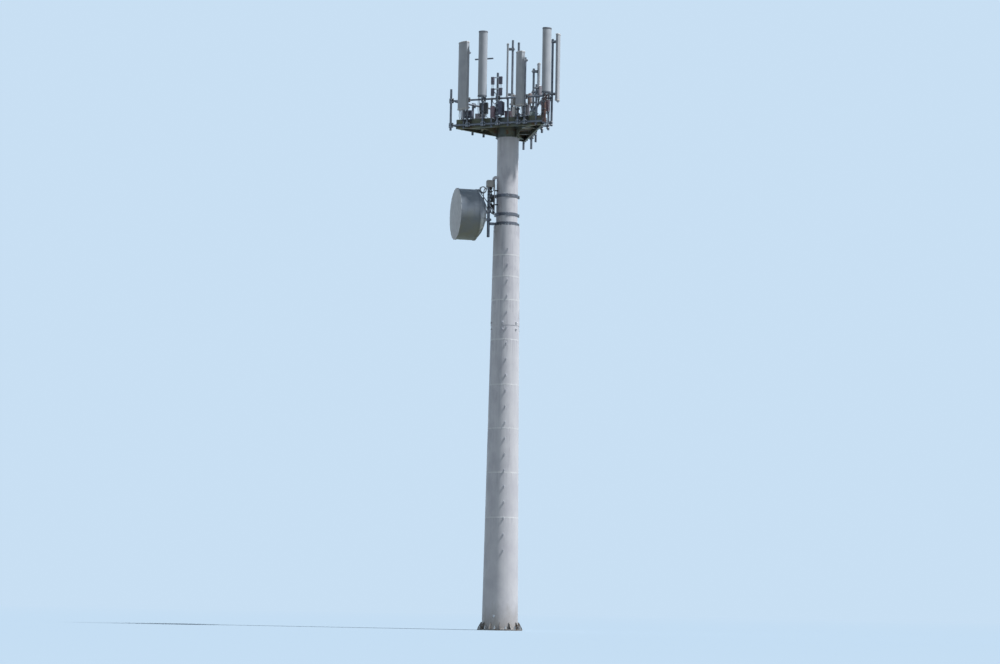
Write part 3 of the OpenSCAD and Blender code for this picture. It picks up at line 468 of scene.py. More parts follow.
def deckFinish(name, look):
    # raised lozenges on top; an olive underside, chosen by which way the face points, is painted reflection
    # of the grass, with rust patches
    finish, tree, shader, coords = newFinish(name)
    up = heightOf(tree, addNode(tree, "ShaderNodeNewGeometry").outputs["Normal"])
    blotch = noise(tree, coords, *look["blotch"])
    top = mixedColour(tree, ranged(tree, blotch, *look["range"]), look["colour"], look["shade"])
    under = mixedColour(tree, ranged(tree, blotch, *look["underRange"]), look["under"], look["underShade"])
    patch = ranged(tree, noise(tree, coords, *look["patch"]), *look["underRustRange"])
    under = mixedColour(tree, patch, under, look["underRust"])
    colour = mixedColour(tree, ranged(tree, up, *look["facingUp"], 1.0, 0.0), top, under)
    spots = ranged(tree, noise(tree, coords, *look["rust"]), *look["rustRange"])
    heights = []
    for turn in look["lozengeTurns"]:
        turned = {"Vector": coords, "Rotation": (0, 0, math.radians(turn)), "Scale": look["lozenge"]}
        placed = addNode(tree, "ShaderNodeMapping", turned).outputs[0]
        checks = addNode(tree, "ShaderNodeTexVoronoi", {"Vector": placed, "Scale": 1.0, "Randomness": 0.0})
        heights.append(ranged(tree, checks.outputs["Distance"], *look["lozengeEdge"], 1.0, 0.0))
    raised = calculated(tree, "MAXIMUM", *heights)
    raised = calculated(tree, "MULTIPLY", raised, ranged(tree, up, *look["raisedWhere"]))
    grain = calculated(tree, "MULTIPLY", noise(tree, coords, *look["grain"]), look["grainShare"])
    relief = calculated(tree, "ADD", raised, grain)
    fillInputs(tree, shader, {
        "Base Color": mixedColour(tree, spots, colour, wear["rustColour"]), "Roughness": look["rough"],
        "Metallic": look["metal"], "Normal": bumped(tree, relief, look["bump"], look["bumpDepth"]),
    })
    return finish


finishes["shaft"] = shaftFinish("shaft_paint", shaftSettings)
finishes["deck"] = deckFinish("deck_chequer", deckSettings)
print("finishes ready")

# What each frame piece is finished in. The rest is panel skin or galvanised steel
finishedNodes = {
    "foot": ("base_flange", "base_gussets"),
    "shaft": ("lower_shaft", "upper_shaft", "port_cover", "step_lugs", "shaft_cap", "extension_tube"),
    "frameSteelShaded": (
        "headframe_hub", "radial_arms", "toe_boards",
        "edge_beam_front", "edge_beam_right", "edge_beam_back",
    ),
    "deck": ("deck_plates",),
    "bracket": ("dish_collars", "dish_yoke", "clamps_front", "clamps_right", "clamps_back"),
    "dishPaintShaded": ("dish_reflector", "dish_drum"),
    "cap": ("dish_radome",),
    "unit": ("dish_radio", "radio_stack", "radio_units"),
    "cable": ("feeder_cables", "jumper_cables"),
}
nodeFinish = {name: key for key, names in finishedNodes.items() for name in names}
for nodeName, node in nodes.items():
    key = nodeFinish.get(nodeName, "panel" if nodeName.startswith("panel_") else "galvanised")
    if not node.data.materials:
        node.data.materials.append(None)
    for materialSlot in node.material_slots:
        materialSlot.material = finishes[key]
print("frame pieces finished")

# Modelling helpers
atOrigin = Matrix.Identity(4)
mergeGap = 0.00002


def turnedAbout(axis, degrees):
    return Matrix.Rotation(math.radians(degrees), 4, axis)


def turnedBy(bearing):
    return turnedAbout("Z", bearing)


def shifted(x, y, z):
    return Matrix.Translation((x, y, z))


def standing(axis, turn):
    # a frame on the ground under an upright axis, turned by radians
    return shifted(axis.x, axis.y, 0) @ Matrix.Rotation(turn, 4, "Z")


def directed(place, x, y, z):
    return place.to_3x3() @ Vector((x, y, z))


def pointed(place, axis):
    return Matrix.Translation(place) @ Vector(axis).to_track_quat("Z", "Y").to_matrix().to_4x4()


def middleOf(points):
    return sum(points, Vector()) / len(points)


def makePiece(name, bm, finish, sharp=38.0):
    bmesh.ops.remove_doubles(bm, verts=bm.verts, dist=mergeGap)
    bmesh.ops.recalc_face_normals(bm, faces=bm.faces)
    mesh = meshFrom(bm, name)
    mesh.shade_smooth()
    mesh.set_sharp_from_angle(angle=math.radians(sharp))
    mesh.materials.append(finishes[finish])
    piece = placeObject(name, mesh)
    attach(piece, "root")
    return piece


def makeCables(name, bm, finish="cable"):
    return makePiece(name, bm, finish, 60)


def stamp(bm, template, place):
    copied = template.copy()
    copied.transform(place)
    bm.from_mesh(copied)
    bpy.data.meshes.remove(copied)


def rounded(bm, edges, width, segments=2, **more):
    bmesh.ops.bevel(
        bm, geom=edges, offset=width, affect="EDGES", segments=segments, profile=0.5, material=-1, **more,
    )


def edgesOf(verts):
    return list({e for v in verts for e in v.link_edges})


def addRod(bm, place, radius, depth, segments=24, tip=None, bevel=0.0):
    # from z = 0 up to depth in the given place
    made = bmesh.ops.create_cone(
        bm, cap_ends=True, segments=segments, radius1=radius, radius2=radius if tip is None else tip,
        depth=depth, matrix=place @ shifted(0, 0, depth / 2),
    )["verts"]
    if bevel:
        rounded(bm, [e for e in edgesOf(made) if max(len(f.verts) for f in e.link_faces) > 4], bevel)
    return made


def addBox(bm, place, xs, ys, zs, bevel=0.002, segments=2):
    # each range is a pair of ends, or half a width
    ends = [r if isinstance(r, tuple) else (-r, r) for r in (xs, ys, zs)]
    low, high = (Vector([r[i] for r in ends]) for i in (0, 1))
    filling = place @ Matrix.Translation((low + high) / 2) @ Matrix.Diagonal((*(high - low), 1))
    made = bmesh.ops.create_cube(bm, size=1, matrix=filling)["verts"]
    if bevel:
        rounded(bm, edgesOf(made), bevel, segments)


def addRing(bm, place, outline, steps=96):
    # outline of (radius, height) points, closed, spun about the place's Z
    verts = [bm.verts.new(place @ Vector((r, 0, h))) for r, h in outline]
    edges = [bm.edges.new((verts[i - 1], verts[i])) for i in range(len(verts))]
    bmesh.ops.spin(
        bm, geom=verts + edges, cent=place.translation, axis=directed(place, 0, 0, 1),
        angle=math.tau, steps=steps, use_merge=True, use_duplicate=False,
    )


def bandOutline(inner, outer, half):
    return [(inner, -half), (outer, -half), (outer, half), (inner, half)]


def tubeMesh(points, radius, sides=4, smooth=True, steps=6):
    curve = bpy.data.curves.new("route", "CURVE")
    curve.dimensions = "3D"
    curve.bevel_depth = radius
    curve.bevel_resolution = sides
    curve.resolution_u = steps
    curve.use_fill_caps = True
    spline = curve.splines.new("BEZIER" if smooth else "POLY")
    knots = spline.bezier_points if smooth else spline.points
    knots.add(len(points) - 1)
    for knot, point in zip(knots, points):
        if smooth:
            knot.co = point
            knot.handle_left_type = knot.handle_right_type = "AUTO"
        else:
            knot.co = (*point, 1)
    holder = bpy.data.objects.new("route", curve)
    mesh = bpy.data.meshes.new_from_object(holder)
    bpy.data.objects.remove(holder)
    bpy.data.curves.remove(curve)
    return mesh


def addCable(bm, points, diameter, sides=4):
    bm.from_mesh(tubeMesh([Vector(p) for p in points], diameter / 2, sides))


def mergedCopy(nodeName):
    bm = bmesh.new()
    bm.from_mesh(nodes[nodeName].data)
    bmesh.ops.remove_doubles(bm, verts=bm.verts, dist=mergeGap)
    return bm


def solidsOf(nodeName):
    # the separate solids of a frame piece, as lists of corners
    bm = mergedCopy(nodeName)
    found, seen = [], set()
    for first in bm.verts:
        if first in seen:
            continue
        seen.add(first)
        group, waiting = [], [first]
        while waiting:
            vert = waiting.pop()
            group.append(vert.co.copy())
            for edge in vert.link_edges:
                other = edge.other_vert(vert)
                if other not in seen:
                    seen.add(other)
                    waiting.append(other)
        found.append(group)
    bm.free()
    return found


def extentIn(points, place):
    inverse = place.inverted()
    local = [inverse @ p for p in points]
    low = Vector([min(p[i] for p in local) for i in range(3)])
    high = Vector([max(p[i] for p in local) for i in range(3)])
    return low, high


def nodeExtent(nodeName, place):
    return extentIn([v.co for v in nodes[nodeName].data.vertices], place)


def softened(nodeName, finish, width, angle=30.0, flat=0.6):
    # a copy of a frame piece with its sharp edges rounded, which stands for it
    bm = mergedCopy(nodeName)
    bmesh.ops.dissolve_limit(bm, angle_limit=math.radians(flat), verts=bm.verts, edges=bm.edges)
    sharp = [e for e in bm.edges if e.is_manifold and e.calc_face_angle() > math.radians(angle)]
    rounded(bm, sharp, width, clamp_overlap=True)
    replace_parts(makePiece(nodeName + "_finished", bm, finish), nodeName)


# A bolt with a hexagon one unit across: washer, head, and the thread's end where it is a stud
boltShape = {
    "washer": 0.72, "washerHeight": 0.12, "head": 0.577, "headHeight": 0.62, "crown": 0.06,
    "studFrom": 0.7, "stud": 0.31, "studTip": 0.27, "studLength": 0.5,
}


def boltTemplate(stud):
    s = boltShape
    bm = bmesh.new()
    addRod(bm, atOrigin, s["washer"], s["washerHeight"], 14)
    made = addRod(bm, shifted(0, 0, s["washerHeight"]), s["head"], s["headHeight"], 6)
    crown = [e for e in edgesOf(made) if all(v.co.z > s["studFrom"] for v in e.verts)]
    rounded(bm, crown, s["crown"], 1)
    if stud:
        addRod(bm, shifted(0, 0, s["studFrom"]), s["stud"], s["studLength"], 10, tip=s["studTip"])
    return meshFrom(bm, "bolt_template")


boltHead, boltStud = boltTemplate(False), boltTemplate(True)


def addBolt(bm, place, point, axis, across, template=boltHead):
    spot = pointed(place @ Vector(point), directed(place, *axis))
    stamp(bm, template, spot @ Matrix.Scale(across, 4))


def uBoltTemplate(radius, rod, legs, plate, tail=0.022, nut=1.6):
    # a bow round a round bar whose axis is Z, with nuts on the plate at x = -legs
    bm = bmesh.new()
    bow = [(math.sin(math.radians(a)), math.cos(math.radians(a))) for a in range(0, 181, 18)]
    reach = radius + rod / 2
    end = -legs - plate - tail
    points = [(end, reach, 0)] + [(x * reach, y * reach, 0) for x, y in bow] + [(end, -reach, 0)]
    bm.from_mesh(tubeMesh(points, rod / 2, 2, False))
    for y in (reach, -reach):
        addBolt(bm, atOrigin, (-legs - plate, y, 0), (-1, 0, 0), rod * nut)
    return meshFrom(bm, "u_bolt_template")


# Places taken from the frame
cornerBearing = 71.0
faceBearings = {"front": cornerBearing + 180, "right": cornerBearing - 60, "back": cornerBearing + 60}
faceFrames = {}
for face, bearing in faceBearings.items():
    beamOut = nodeExtent("edge_beam_" + face, turnedBy(bearing))[1].x
    faceFrames[face] = turnedBy(bearing) @ shifted(beamOut, 0, 0)
beamBottom, beamTop = (corner[2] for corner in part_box("edge_beam_front"))
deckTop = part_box("deck_plates")[1][2]
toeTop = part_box("toe_boards")[1][2]
pipeBoxes = [extentIn(solid, atOrigin) for face in faceFrames for solid in solidsOf("pipes_" + face)]
pipeRadius = (pipeBoxes[0][1].x - pipeBoxes[0][0].x) / 2
bothSides = (-1, 1)


def nearestPipe(solid):
    centre = middleOf(solid)
    axes = [(low + high) / 2 for low, high in pipeBoxes]
    return min(axes, key=lambda a: (a.xy - centre.xy).length)


def shaftRadius(nodeName, height, ring=0.001):
    # outer radius of a tapered tube, between its lowest and highest rings
    verts = nodes[nodeName].data.vertices
    low, high = (corner[2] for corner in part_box(nodeName))
    foot = max(v.co.xy.length for v in verts if v.co.z < low + ring)
    head = max(v.co.xy.length for v in verts if v.co.z > high - ring)
    return foot + (head - foot) * (height - low) / (high - low)


print("helpers ready, pipes:", len(pipeBoxes))

# Panel antennas: body, domed end caps, side ribs, connectors, tilt drive and screws
panels = {
    # face, turn from it, and the front's radius in widths
    "turns": {
        "left_wide": ("front", -28, 1.2), "left_tall": ("front", 12, 0.62), "back": ("back", 49, 0.9),
        "middle": ("front", -32, 1.2), "right_tall": ("front", 38, 0.62),
        "right_outer": ("right", -28, 0.7), "right_short": ("right", 0, 0.7),
    },
    "darkCaps": ("left_tall", "right_tall"), "capHeight": 0.060, "lip": 0.008,
    "edgeRound": 0.012, "domeRound": 0.024,
    "ribs": (0.030, 0.044), "ribWidth": 0.002, "ribRise": 0.0015,
    "portLength": 0.036, "portPlaces": (-0.4, -0.25, 0.25, 0.4), "portDepth": 0.4,
    "driveDepth": 0.62, "drive": 0.020, "driveLength": 0.075,
    "drivePlate": 0.028, "drivePlateHeight": 0.014,
    "screw": 0.012, "screwPlace": 0.06, "screwSunk": 0.001,
}


def panelOutline(width, depth, bow, steps=16):
    radius = bow * width
    half = math.asin(width / 2 / radius)
    arc = [half * (2 * i / steps - 1) for i in range(steps + 1)]
    front = [(depth - radius + radius * math.cos(a), radius * math.sin(a)) for a in arc]
    return [(0, -width / 2)] + front + [(0, width / 2)]


def roundEnd(bm, place, face, outward, rounding, steps=4):
    # the end face pulled out in rings that close in on its middle
    inverse = place.inverted()
    low, high = extentIn([v.co for v in face.verts], place)
    middle, half = (low + high) / 2, (high - low) / 2
    rise, inset = 0.0, 0.0
    for step in range(1, steps + 1):
        angle = math.pi / 2 * step / steps
        nextRise, nextInset = rounding * math.sin(angle), rounding * (1 - math.cos(angle))
        pulled = bmesh.ops.extrude_face_region(bm, geom=[face])["geom"]
        face = next(g for g in pulled if isinstance(g, bmesh.types.BMFace))
        stretch = [(half[i] - nextInset) / (half[i] - inset) for i in (0, 1)]
        for vert in face.verts:
            p = inverse @ vert.co - middle
            p = Vector((p.x * stretch[0], p.y * stretch[1], p.z + outward * (nextRise - rise)))
            vert.co = place @ (middle + p)
        rise, inset = nextRise, nextInset


def pullOut(bm, faces, way):
    pulled = bmesh.ops.extrude_face_region(bm, geom=faces)["geom"]
    raised = [g for g in pulled if isinstance(g, bmesh.types.BMVert)]
    bmesh.ops.translate(bm, verts=raised, vec=way)
    return raised


def addProfile(bm, place, outline, low, high, edgeRound, lowRound=0.0, highRound=0.0):
    # an outline pulled up from low to high, with its upright corners and its ends rounded
    corner, flat = math.radians(22), 0.0001
    low, high = low + lowRound, high - highRound
    verts = [bm.verts.new(place @ Vector((x, y, low))) for x, y in outline]
    raised = pullOut(bm, [bm.faces.new(verts)], directed(place, 0, 0, 1) * (high - low))
    bmesh.ops.recalc_face_normals(bm, faces=list({f for v in verts + raised for f in v.link_faces}))
    upright = [e for v in verts for e in v.link_edges if e.other_vert(v) in raised]
    sharp = [e for e in upright if e.is_manifold and abs(e.calc_face_angle()) > corner]
    rounded(bm, sharp, edgeRound, 3)
    inverse = place.inverted()
    for level, outward, rounding in ((high, 1, highRound), (low, -1, lowRound)):
        if rounding:
            ends = [f for f in bm.faces if len(f.verts) > 8]
            end = next(f for f in ends if all(abs((inverse @ v.co).z - level) < flat for v in f.verts))
            roundEnd(bm, place, end, outward, rounding)


# Flange, coupling nut and sleeve of a connector: radius, length, sides, radius at the far end and edge
connectorParts = (
    (0.017, 0.008, 16, 0.017, 0.001), (0.0155, 0.015, 6, 0.0155, 0.0), (0.0125, 0.013, 12, 0.0115, 0.0),
)


def addConnector(bm, place):
    # below a housing, along the place's -Z
    down, reached = place @ turnedAbout("X", 180), 0.0
    for radius, length, sides, tip, edge in connectorParts:
        addRod(bm, down @ shifted(0, 0, reached), radius, length, sides, tip, edge)
        reached += length


panelFrames = {}
portMetal, screws = bmesh.new(), bmesh.new()
for name, (face, turn, bow) in panels["turns"].items():
    bearing = turnedBy(faceBearings[face] + turn)
    low, high = nodeExtent("panel_" + name, bearing)
    width, depth = high.y - low.y, high.x - low.x
    height = high.z - low.z - panels["portLength"]
    place = bearing @ shifted(low.x, (low.y + high.y) / 2, low.z + panels["portLength"])
    panelFrames[name] = (place, width, depth)
    cap, lip, edgeRound, dome = (panels[k] for k in ("capHeight", "lip", "edgeRound", "domeRound"))
    outer = panelOutline(width, depth, bow)
    inner = panelOutline(width - 2 * lip, depth - 2 * lip, bow)
    bm = bmesh.new()
    addProfile(bm, place, outer, 0, cap, edgeRound, lowRound=dome / 2)
    addProfile(bm, place, outer, height - cap, height, edgeRound, highRound=dome)
    capFinish = "capDark" if name in panels["darkCaps"] else "cap"
    makePiece("panel_" + name + "_caps", bm, capFinish)
    bm = bmesh.new()
    addProfile(bm, place @ shifted(lip, 0, 0), inner, cap, height - cap, edgeRound)
    for side in bothSides:
        for x in panels["ribs"]:
            rib = place @ shifted(x + lip, side * (width / 2 - lip), 0)
            addBox(bm, rib, panels["ribWidth"], panels["ribRise"], (cap, height - cap), 0)
    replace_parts(makePiece("panel_" + name + "_body", bm, "panel"), "panel_" + name)
    for share in panels["portPlaces"]:
        addConnector(portMetal, place @ shifted(depth * panels["portDepth"], share * width, 0))
    drive = place @ shifted(depth * panels["driveDepth"], 0, 0)
    length, half = panels["driveLength"], panels["drivePlate"]
    addRod(portMetal, drive @ shifted(0, 0, -length), panels["drive"], length, 20, bevel=0.003)
    addBox(portMetal, drive, half, half, (-panels["drivePlateHeight"], 0.0))
    for side in bothSides:
        for level in (cap / 2, height - cap / 2):
            spot = (panels["screwPlace"], side * (width / 2 - panels["screwSunk"]), level)
            addBolt(screws, place, spot, (0, side, 0), panels["screw"])
makePiece("panel_connectors", portMetal, "bolt")
makePiece("panel_screws", screws, "bolt")
print("panel antennas ready")

# Crossover plates: U-bolts round the pipe outside and round the rail inside
crossover = {
    "rod": 0.014, "pipeSpread": 0.066, "railSpread": 0.072, "railRadius": 0.038,
    "thickness": 0.010, "seat": 0.0003,
}
pipeSeat, railSeat = pipeRadius + crossover["seat"], crossover["railRadius"] + crossover["seat"]
pipeBow = uBoltTemplate(pipeRadius, crossover["rod"], pipeSeat, crossover["thickness"])
railBow = uBoltTemplate(crossover["railRadius"], crossover["rod"], railSeat, crossover["thickness"])


def finishCrossover(bm, centre, inner, outer, onPipe=True, onRail=True):
    if onPipe:
        for side in bothSides:
            stamp(bm, pipeBow, centre @ shifted(outer + pipeSeat, 0, side * crossover["pipeSpread"]))
    if onRail:
        for side in bothSides:
            spot = shifted(inner - railSeat, side * crossover["railSpread"], 0)
            stamp(bm, railBow, centre @ spot @ turnedAbout("X", 90) @ turnedAbout("Z", 180))


# Ears, threaded rods and nuts of the brackets behind panels and radio units
brackets = {
    "rod": 0.012, "nut": 0.020, "rodBeside": 0.004, "rodGap": 0.002, "rodBack": 0.028, "rodMore": 0.022,
    "earFrom": 0.03, "earDepth": 0.012, "earGap": 0.0005, "earHeight": 0.022,
    "flange": 0.006, "flangeFrom": 0.045, "flangeSunk": 0.002, "flangeHeight": 0.025, "edge": 0.0015,
    "crossbarBolt": 0.022, "crossbarSpread": 0.075, "clear": 0.006,
    # a solid thinner than plate and as high as wide is a crossover plate, one wider than bar is a crossbar
    "plate": 0.011, "square": 0.001, "bar": 0.7,
}


def finishBrackets(face, s):
    metal, zinc = bmesh.new(), bmesh.new()
    place = faceFrames[face]
    for solid in solidsOf("clamps_" + face):
        low, high = extentIn(solid, place)
        size, middle = high - low, (low + high) / 2
        if size.x < s["plate"] and abs(size.y - size.z) < s["square"]:
            finishCrossover(zinc, place @ shifted(0, middle.y, middle.z), low.x, high.x)
            continue
        if size.y > s["bar"]:
            for side in bothSides:
                spot = (high.x, middle.y + side * s["crossbarSpread"], middle.z)
                addBolt(zinc, place, spot, (1, 0, 0), s["crossbarBolt"], boltStud)
            continue
        # a bracket: its frame stands on its pipe, and turns towards what it holds
        axis = nearestPipe(solid)
        away = [p - axis for p in solid if (p.xy - axis.xy).length > pipeRadius + s["clear"]]
        centre = sum(away, Vector())
        own = standing(axis, math.atan2(centre.y, centre.x))
        low, high = extentIn(solid, own)
        level = (low.z + high.z) / 2
        ear, flange = (low.x - s["earDepth"], low.x - s["earGap"]), high.x - s["flangeSunk"]
        for side in bothSides:
            y = side * (high.y - s["rodBeside"] + s["rod"] / 2 + s["rodGap"])
            start = own @ shifted(low.x - s["rodBack"], y, level) @ turnedAbout("Y", 90)
            addRod(zinc, start, s["rod"] / 2, high.x - low.x + s["rodMore"], 10)
            ys = (min(y, side * s["earFrom"]) - s["earDepth"], max(y, side * s["earFrom"]) + s["earDepth"])
            addBox(metal, own, ear, ys, (level - s["earHeight"], level + s["earHeight"]), s["edge"], 1)
            ys = (min(y, side * s["flangeFrom"]), max(y, side * s["flangeFrom"]) + side * s["earDepth"])
            zs = (level - s["flangeHeight"], level + s["flangeHeight"])
            addBox(metal, own, (flange - s["flange"], flange), ys, zs, s["edge"], 1)
            for x in (ear[0], flange - s["flange"]):
                addBolt(zinc, own, (x, y, level), (-1, 0, 0), s["nut"])
    makePiece("clamp_ears_" + face, metal, "bracket")
    makePiece("clamp_bolts_" + face, zinc, "bolt")


for face in faceFrames:
    finishBrackets(face, brackets)
bm = bmesh.new()
for solid in solidsOf("outriggers"):
    place, thickness = faceFrames["right"], crossover["thickness"]
    low, high = extentIn(solid, place)
    centre = place @ shifted(0, (low.y + high.y) / 2, (low.z + high.z) / 2)
    finishCrossover(bm, centre, low.x, low.x + thickness, onPipe=False)
    finishCrossover(bm, centre, high.x - thickness, high.x, onRail=False)
makePiece("outrigger_bolts", bm, "bolt")
print("clamps ready")

# Ends of pipes and rails, straps on the rail posts, tabs at the posts' feet
ends = {
    "capReach": 0.003, "capHeight": 0.010, "capRound": 0.003,
    "plug": 0.006, "plugInset": 0.001, "plugRound": 0.002,
    "edge": 0.001, "strap": 0.004, "strapHalf": 0.020, "gap": 0.0004,
    "tab": 0.026, "tabBolt": 0.55, "bolt": 0.014,
    "footDrops": (0.030, 0.155), "footPlace": 0.030, "footTab": 0.034, "footHeight": 0.022,
    "footDepth": 0.006, "footBolt": 0.020, "footBoltPlace": 0.049,
}
bm = bmesh.new()
for low, high in pipeBoxes:
    middle = (low + high) / 2
    cap = pipeRadius + ends["capReach"]
    addRod(bm, shifted(middle.x, middle.y, high.z), cap, ends["capHeight"], 32, bevel=ends["capRound"])
makePiece("pipe_caps", bm, "rubber")


def addStrap(bm, place, postLow, postHigh, middle, radius, s):
    # over a rail, with one tab down the post's face and one back to the rail
    half, gap, edge = s["strapHalf"], s["gap"], s["edge"]
    y = (postLow.y + postHigh.y) / 2
    arc = [math.radians(a) for a in range(-90, 91, 15)]
    rims = [
        [(middle.x + r * math.cos(a), middle.z + r * math.sin(a)) for a in arc]
        for r in (radius + gap, radius + s["strap"])
    ]
    made = [bm.verts.new(place @ Vector((x, y - half, z))) for x, z in rims[0] + rims[1][::-1]]
    for i in range(len(arc) - 1):
        bm.faces.new((made[i], made[i + 1], made[-2 - i], made[-1 - i]))
    pullOut(bm, list({f for v in made for f in v.link_faces}), directed(place, 0, 2 * half, 0))
    own = place @ shifted(0, y, 0)
    under = middle.z - radius
    face = postHigh.x + gap
    addBox(bm, own, (face, postHigh.x + s["strap"]), half, (under - s["tab"], under), edge, 1)
    addBox(bm, own, (face, middle.x), half, (under - s["strap"], under - gap), edge, 1)
    addBolt(bm, own, (postHigh.x + s["strap"], 0, under - s["tab"] * s["tabBolt"]), (1, 0, 0), s["bolt"])
    if middle.z > deckTop:
        # over the upper rail the strap folds down onto the post's top
        top = postHigh.z + s["strap"]
        addBox(bm, own, (postLow.x + s["strap"], middle.x), half, (postHigh.z + gap, top), edge, 1)
        addBolt(bm, own, ((postLow.x + postHigh.x) / 2, 0, top), (0, 0, 1), s["bolt"])


def addPostFoot(bm, place, y, s):
    for drop in s["footDrops"]:
        for side in bothSides:
            tab = place @ shifted(0, y + side * s["footPlace"], beamTop - drop)
            ys = (min(0, side * s["footTab"]), max(0, side * s["footTab"]))
            addBox(bm, tab, (s["gap"], s["footDepth"]), ys, s["footHeight"], s["edge"], 1)
            spot = (s["footDepth"], y + side * s["footBoltPlace"], beamTop - drop)
            addBolt(bm, place, spot, (1, 0, 0), s["footBolt"])


straps, plugs = bmesh.new(), bmesh.new()
for face, place in faceFrames.items():
    parts = [extentIn(solid, place) for solid in solidsOf("guard_rail_" + face)]
    rails = [(low, high) for low, high in parts if high.y - low.y > 1]
    posts = [(low, high) for low, high in parts if high.y - low.y <= 1]
    for low, high in rails:
        middle, radius = (low + high) / 2, (high.z - low.z) / 2
        for y, turn in ((high.y, -90), (low.y, 90)):
            end = place @ shifted(middle.x, y, middle.z) @ turnedAbout("X", turn)
            addRod(plugs, end, radius - ends["plugInset"], ends["plug"], 28, bevel=ends["plugRound"])
        for postLow, postHigh in posts:
            addStrap(straps, place, postLow, postHigh, middle, radius, ends)
    for postLow, postHigh in posts:
        addPostFoot(straps, place, (postLow.y + postHigh.y) / 2, ends)
makePiece("rail_straps", straps, "bracket")
makePiece("rail_end_plugs", plugs, "rubber")
print("rails ready")

# Radio units on the pipes: cast housing, back plate, cooling fins, side lid, bail and connectors
radios = {
    "finDepth": 0.036, "finPitch": 0.022, "finThickness": 0.005,
    "finEnd": 0.006, "outerFin": 0.010, "finRoot": 0.002,
    "portLength": 0.036, "portPlaces": (-0.4, -0.25, 0.25, 0.4), "portDepth": 0.35,
    "rounding": 0.006, "edge": 0.0015, "back": 0.003, "backSunk": 0.002, "backIn": 0.03, "backEnd": 0.05,
    "ties": (0.34, 0.67), "tie": 0.004, "tieIn": 0.014, "tieEnd": 0.01,
    "lidIn": (0.018, 0.014), "lidRise": 0.005, "lidSunk": 0.001, "lidLevels": (0.10, 0.34),
    "screw": 0.007, "screwIn": (0.008, 0.010),
    "bail": 0.42, "bailRise": 0.032, "bailSunk": 0.004,
    "gland": 0.011, "glandLength": 0.027, "glandSunk": 0.001,
    "tints": (
        "unitDark", "unitNavy", "unitWhiteSunlit", "unitLilac", "unitPlum", "unitNavy", "unitPlum", "unitBrown",
        "unitLilac", "unitTeal", "unitWhiteSunlit",
    ),
    "onDeck": 0.01, "atTop": 0.001, "joinedCabinet": 0.380, "joinedUnit": 0.476,
}


def addHandle(bm, place, span, rise, rod=0.010):
    # a bail in the place's YZ plane
    bend, half = rise * 0.5, span / 2
    leg = [(-half, 0), (-half, rise - bend), (-half + bend, rise)]
    points = leg + [(-y, z) for y, z in leg[::-1]]
    bm.from_mesh(tubeMesh([place @ Vector((0, y, z)) for y, z in points], rod / 2, 2))


def addRadio(casing, metal, place, width, depth, height, s):
    shell, half, edge = depth - s["finDepth"], width / 2, s["edge"]
    root, finHeight = shell - s["finRoot"], (s["finEnd"], height - s["finEnd"])
    addBox(casing, place, (0, shell), half, (0, height), s["rounding"], 3)
    backHeight = (s["backEnd"], height - s["backEnd"])
    backDepth = (-s["back"], s["backSunk"])
    addBox(casing, place, backDepth, half - s["backIn"], backHeight, bevel=0.002, segments=1)
    count = int((width - s["finThickness"]) / s["finPitch"])
    for index in range(count + 1):
        fin = place @ shifted(0, index * s["finPitch"] - count * s["finPitch"] / 2, 0)
        reach = depth - (s["outerFin"] if index in (0, count) else 0.0)
        addBox(casing, fin, (root, reach), s["finThickness"] / 2, finHeight, edge, 1)
    for share in s["ties"]:
        level = height * share
        zs = (level - s["tie"], level + s["tie"])
        addBox(casing, place, (root, depth - s["tieIn"]), half - s["tieEnd"], zs, edge, 1)
    lidX = (s["lidIn"][0], shell - s["lidIn"][1])
    lidZ = (height * s["lidLevels"][0], height * s["lidLevels"][1])
    addBox(casing, place, lidX, (half - s["lidSunk"], half + s["lidRise"]), lidZ, bevel=0.002, segments=1)
    inX, inZ = s["screwIn"]
    for x in (lidX[0] + inX, lidX[1] - inX):
        for z in (lidZ[0] + inZ, lidZ[1] - inZ):
            addBolt(metal, place, (x, half + s["lidRise"], z), (0, 1, 0), s["screw"])
    top = place @ shifted(shell / 2, 0, height - s["bailSunk"])
    addHandle(metal, top, width * s["bail"], s["bailRise"])
    under = place @ shifted(depth * s["portDepth"], 0, 0)
    for share in s["portPlaces"]:
        addConnector(metal, under @ shifted(0, share * width, 0))
    gland = under @ shifted(0, 0, s["glandSunk"] - s["glandLength"])
    addRod(metal, gland, s["gland"], s["glandLength"], 14, bevel=0.002)


def footprint(solid, place):
    low, high = extentIn(solid, place)
    return (high.x - low.x) * (high.y - low.y)


radioFrames, boxes = [], []
tints = ("unitWhiteSunlit", "unitDark", "unitBrown", "unitTeal", "unitLilac", "unitNavy", "unitPlum")
casings = {tint: bmesh.new() for tint in tints}
fittings = bmesh.new()
for solid in solidsOf("radio_units"):
    if len(solid) <= 8:
        boxes.append(solid)
        continue
    foot = [p for p in solid if p.z < deckTop + radios["onDeck"]]
    if foot:
        # a cabinet and a unit that meet at a corner are told apart by their ends
        top = max(p.z for p in solid)
        head = [p for p in solid if p.z > top - radios["atTop"]]
        boxes.append(foot + [p + Vector((0, 0, radios["joinedCabinet"])) for p in foot])
        solid = head + [p - Vector((0, 0, radios["joinedUnit"])) for p in head]
    axis = nearestPipe(solid)
    centre = middleOf(solid)
    own = standing(axis, math.atan2(centre.y - axis.y, centre.x - axis.x))
    low, high = extentIn(solid, own)
    place = own @ shifted(low.x, 0, low.z + radios["portLength"])
    width, depth = high.y - low.y, high.x - low.x
    tint = radios["tints"][len(radioFrames) % len(radios["tints"])]
    radioFrames.append((place, width, depth, axis))
    addRadio(casings[tint], fittings, place, width, depth, high.z - low.z - radios["portLength"], radios)

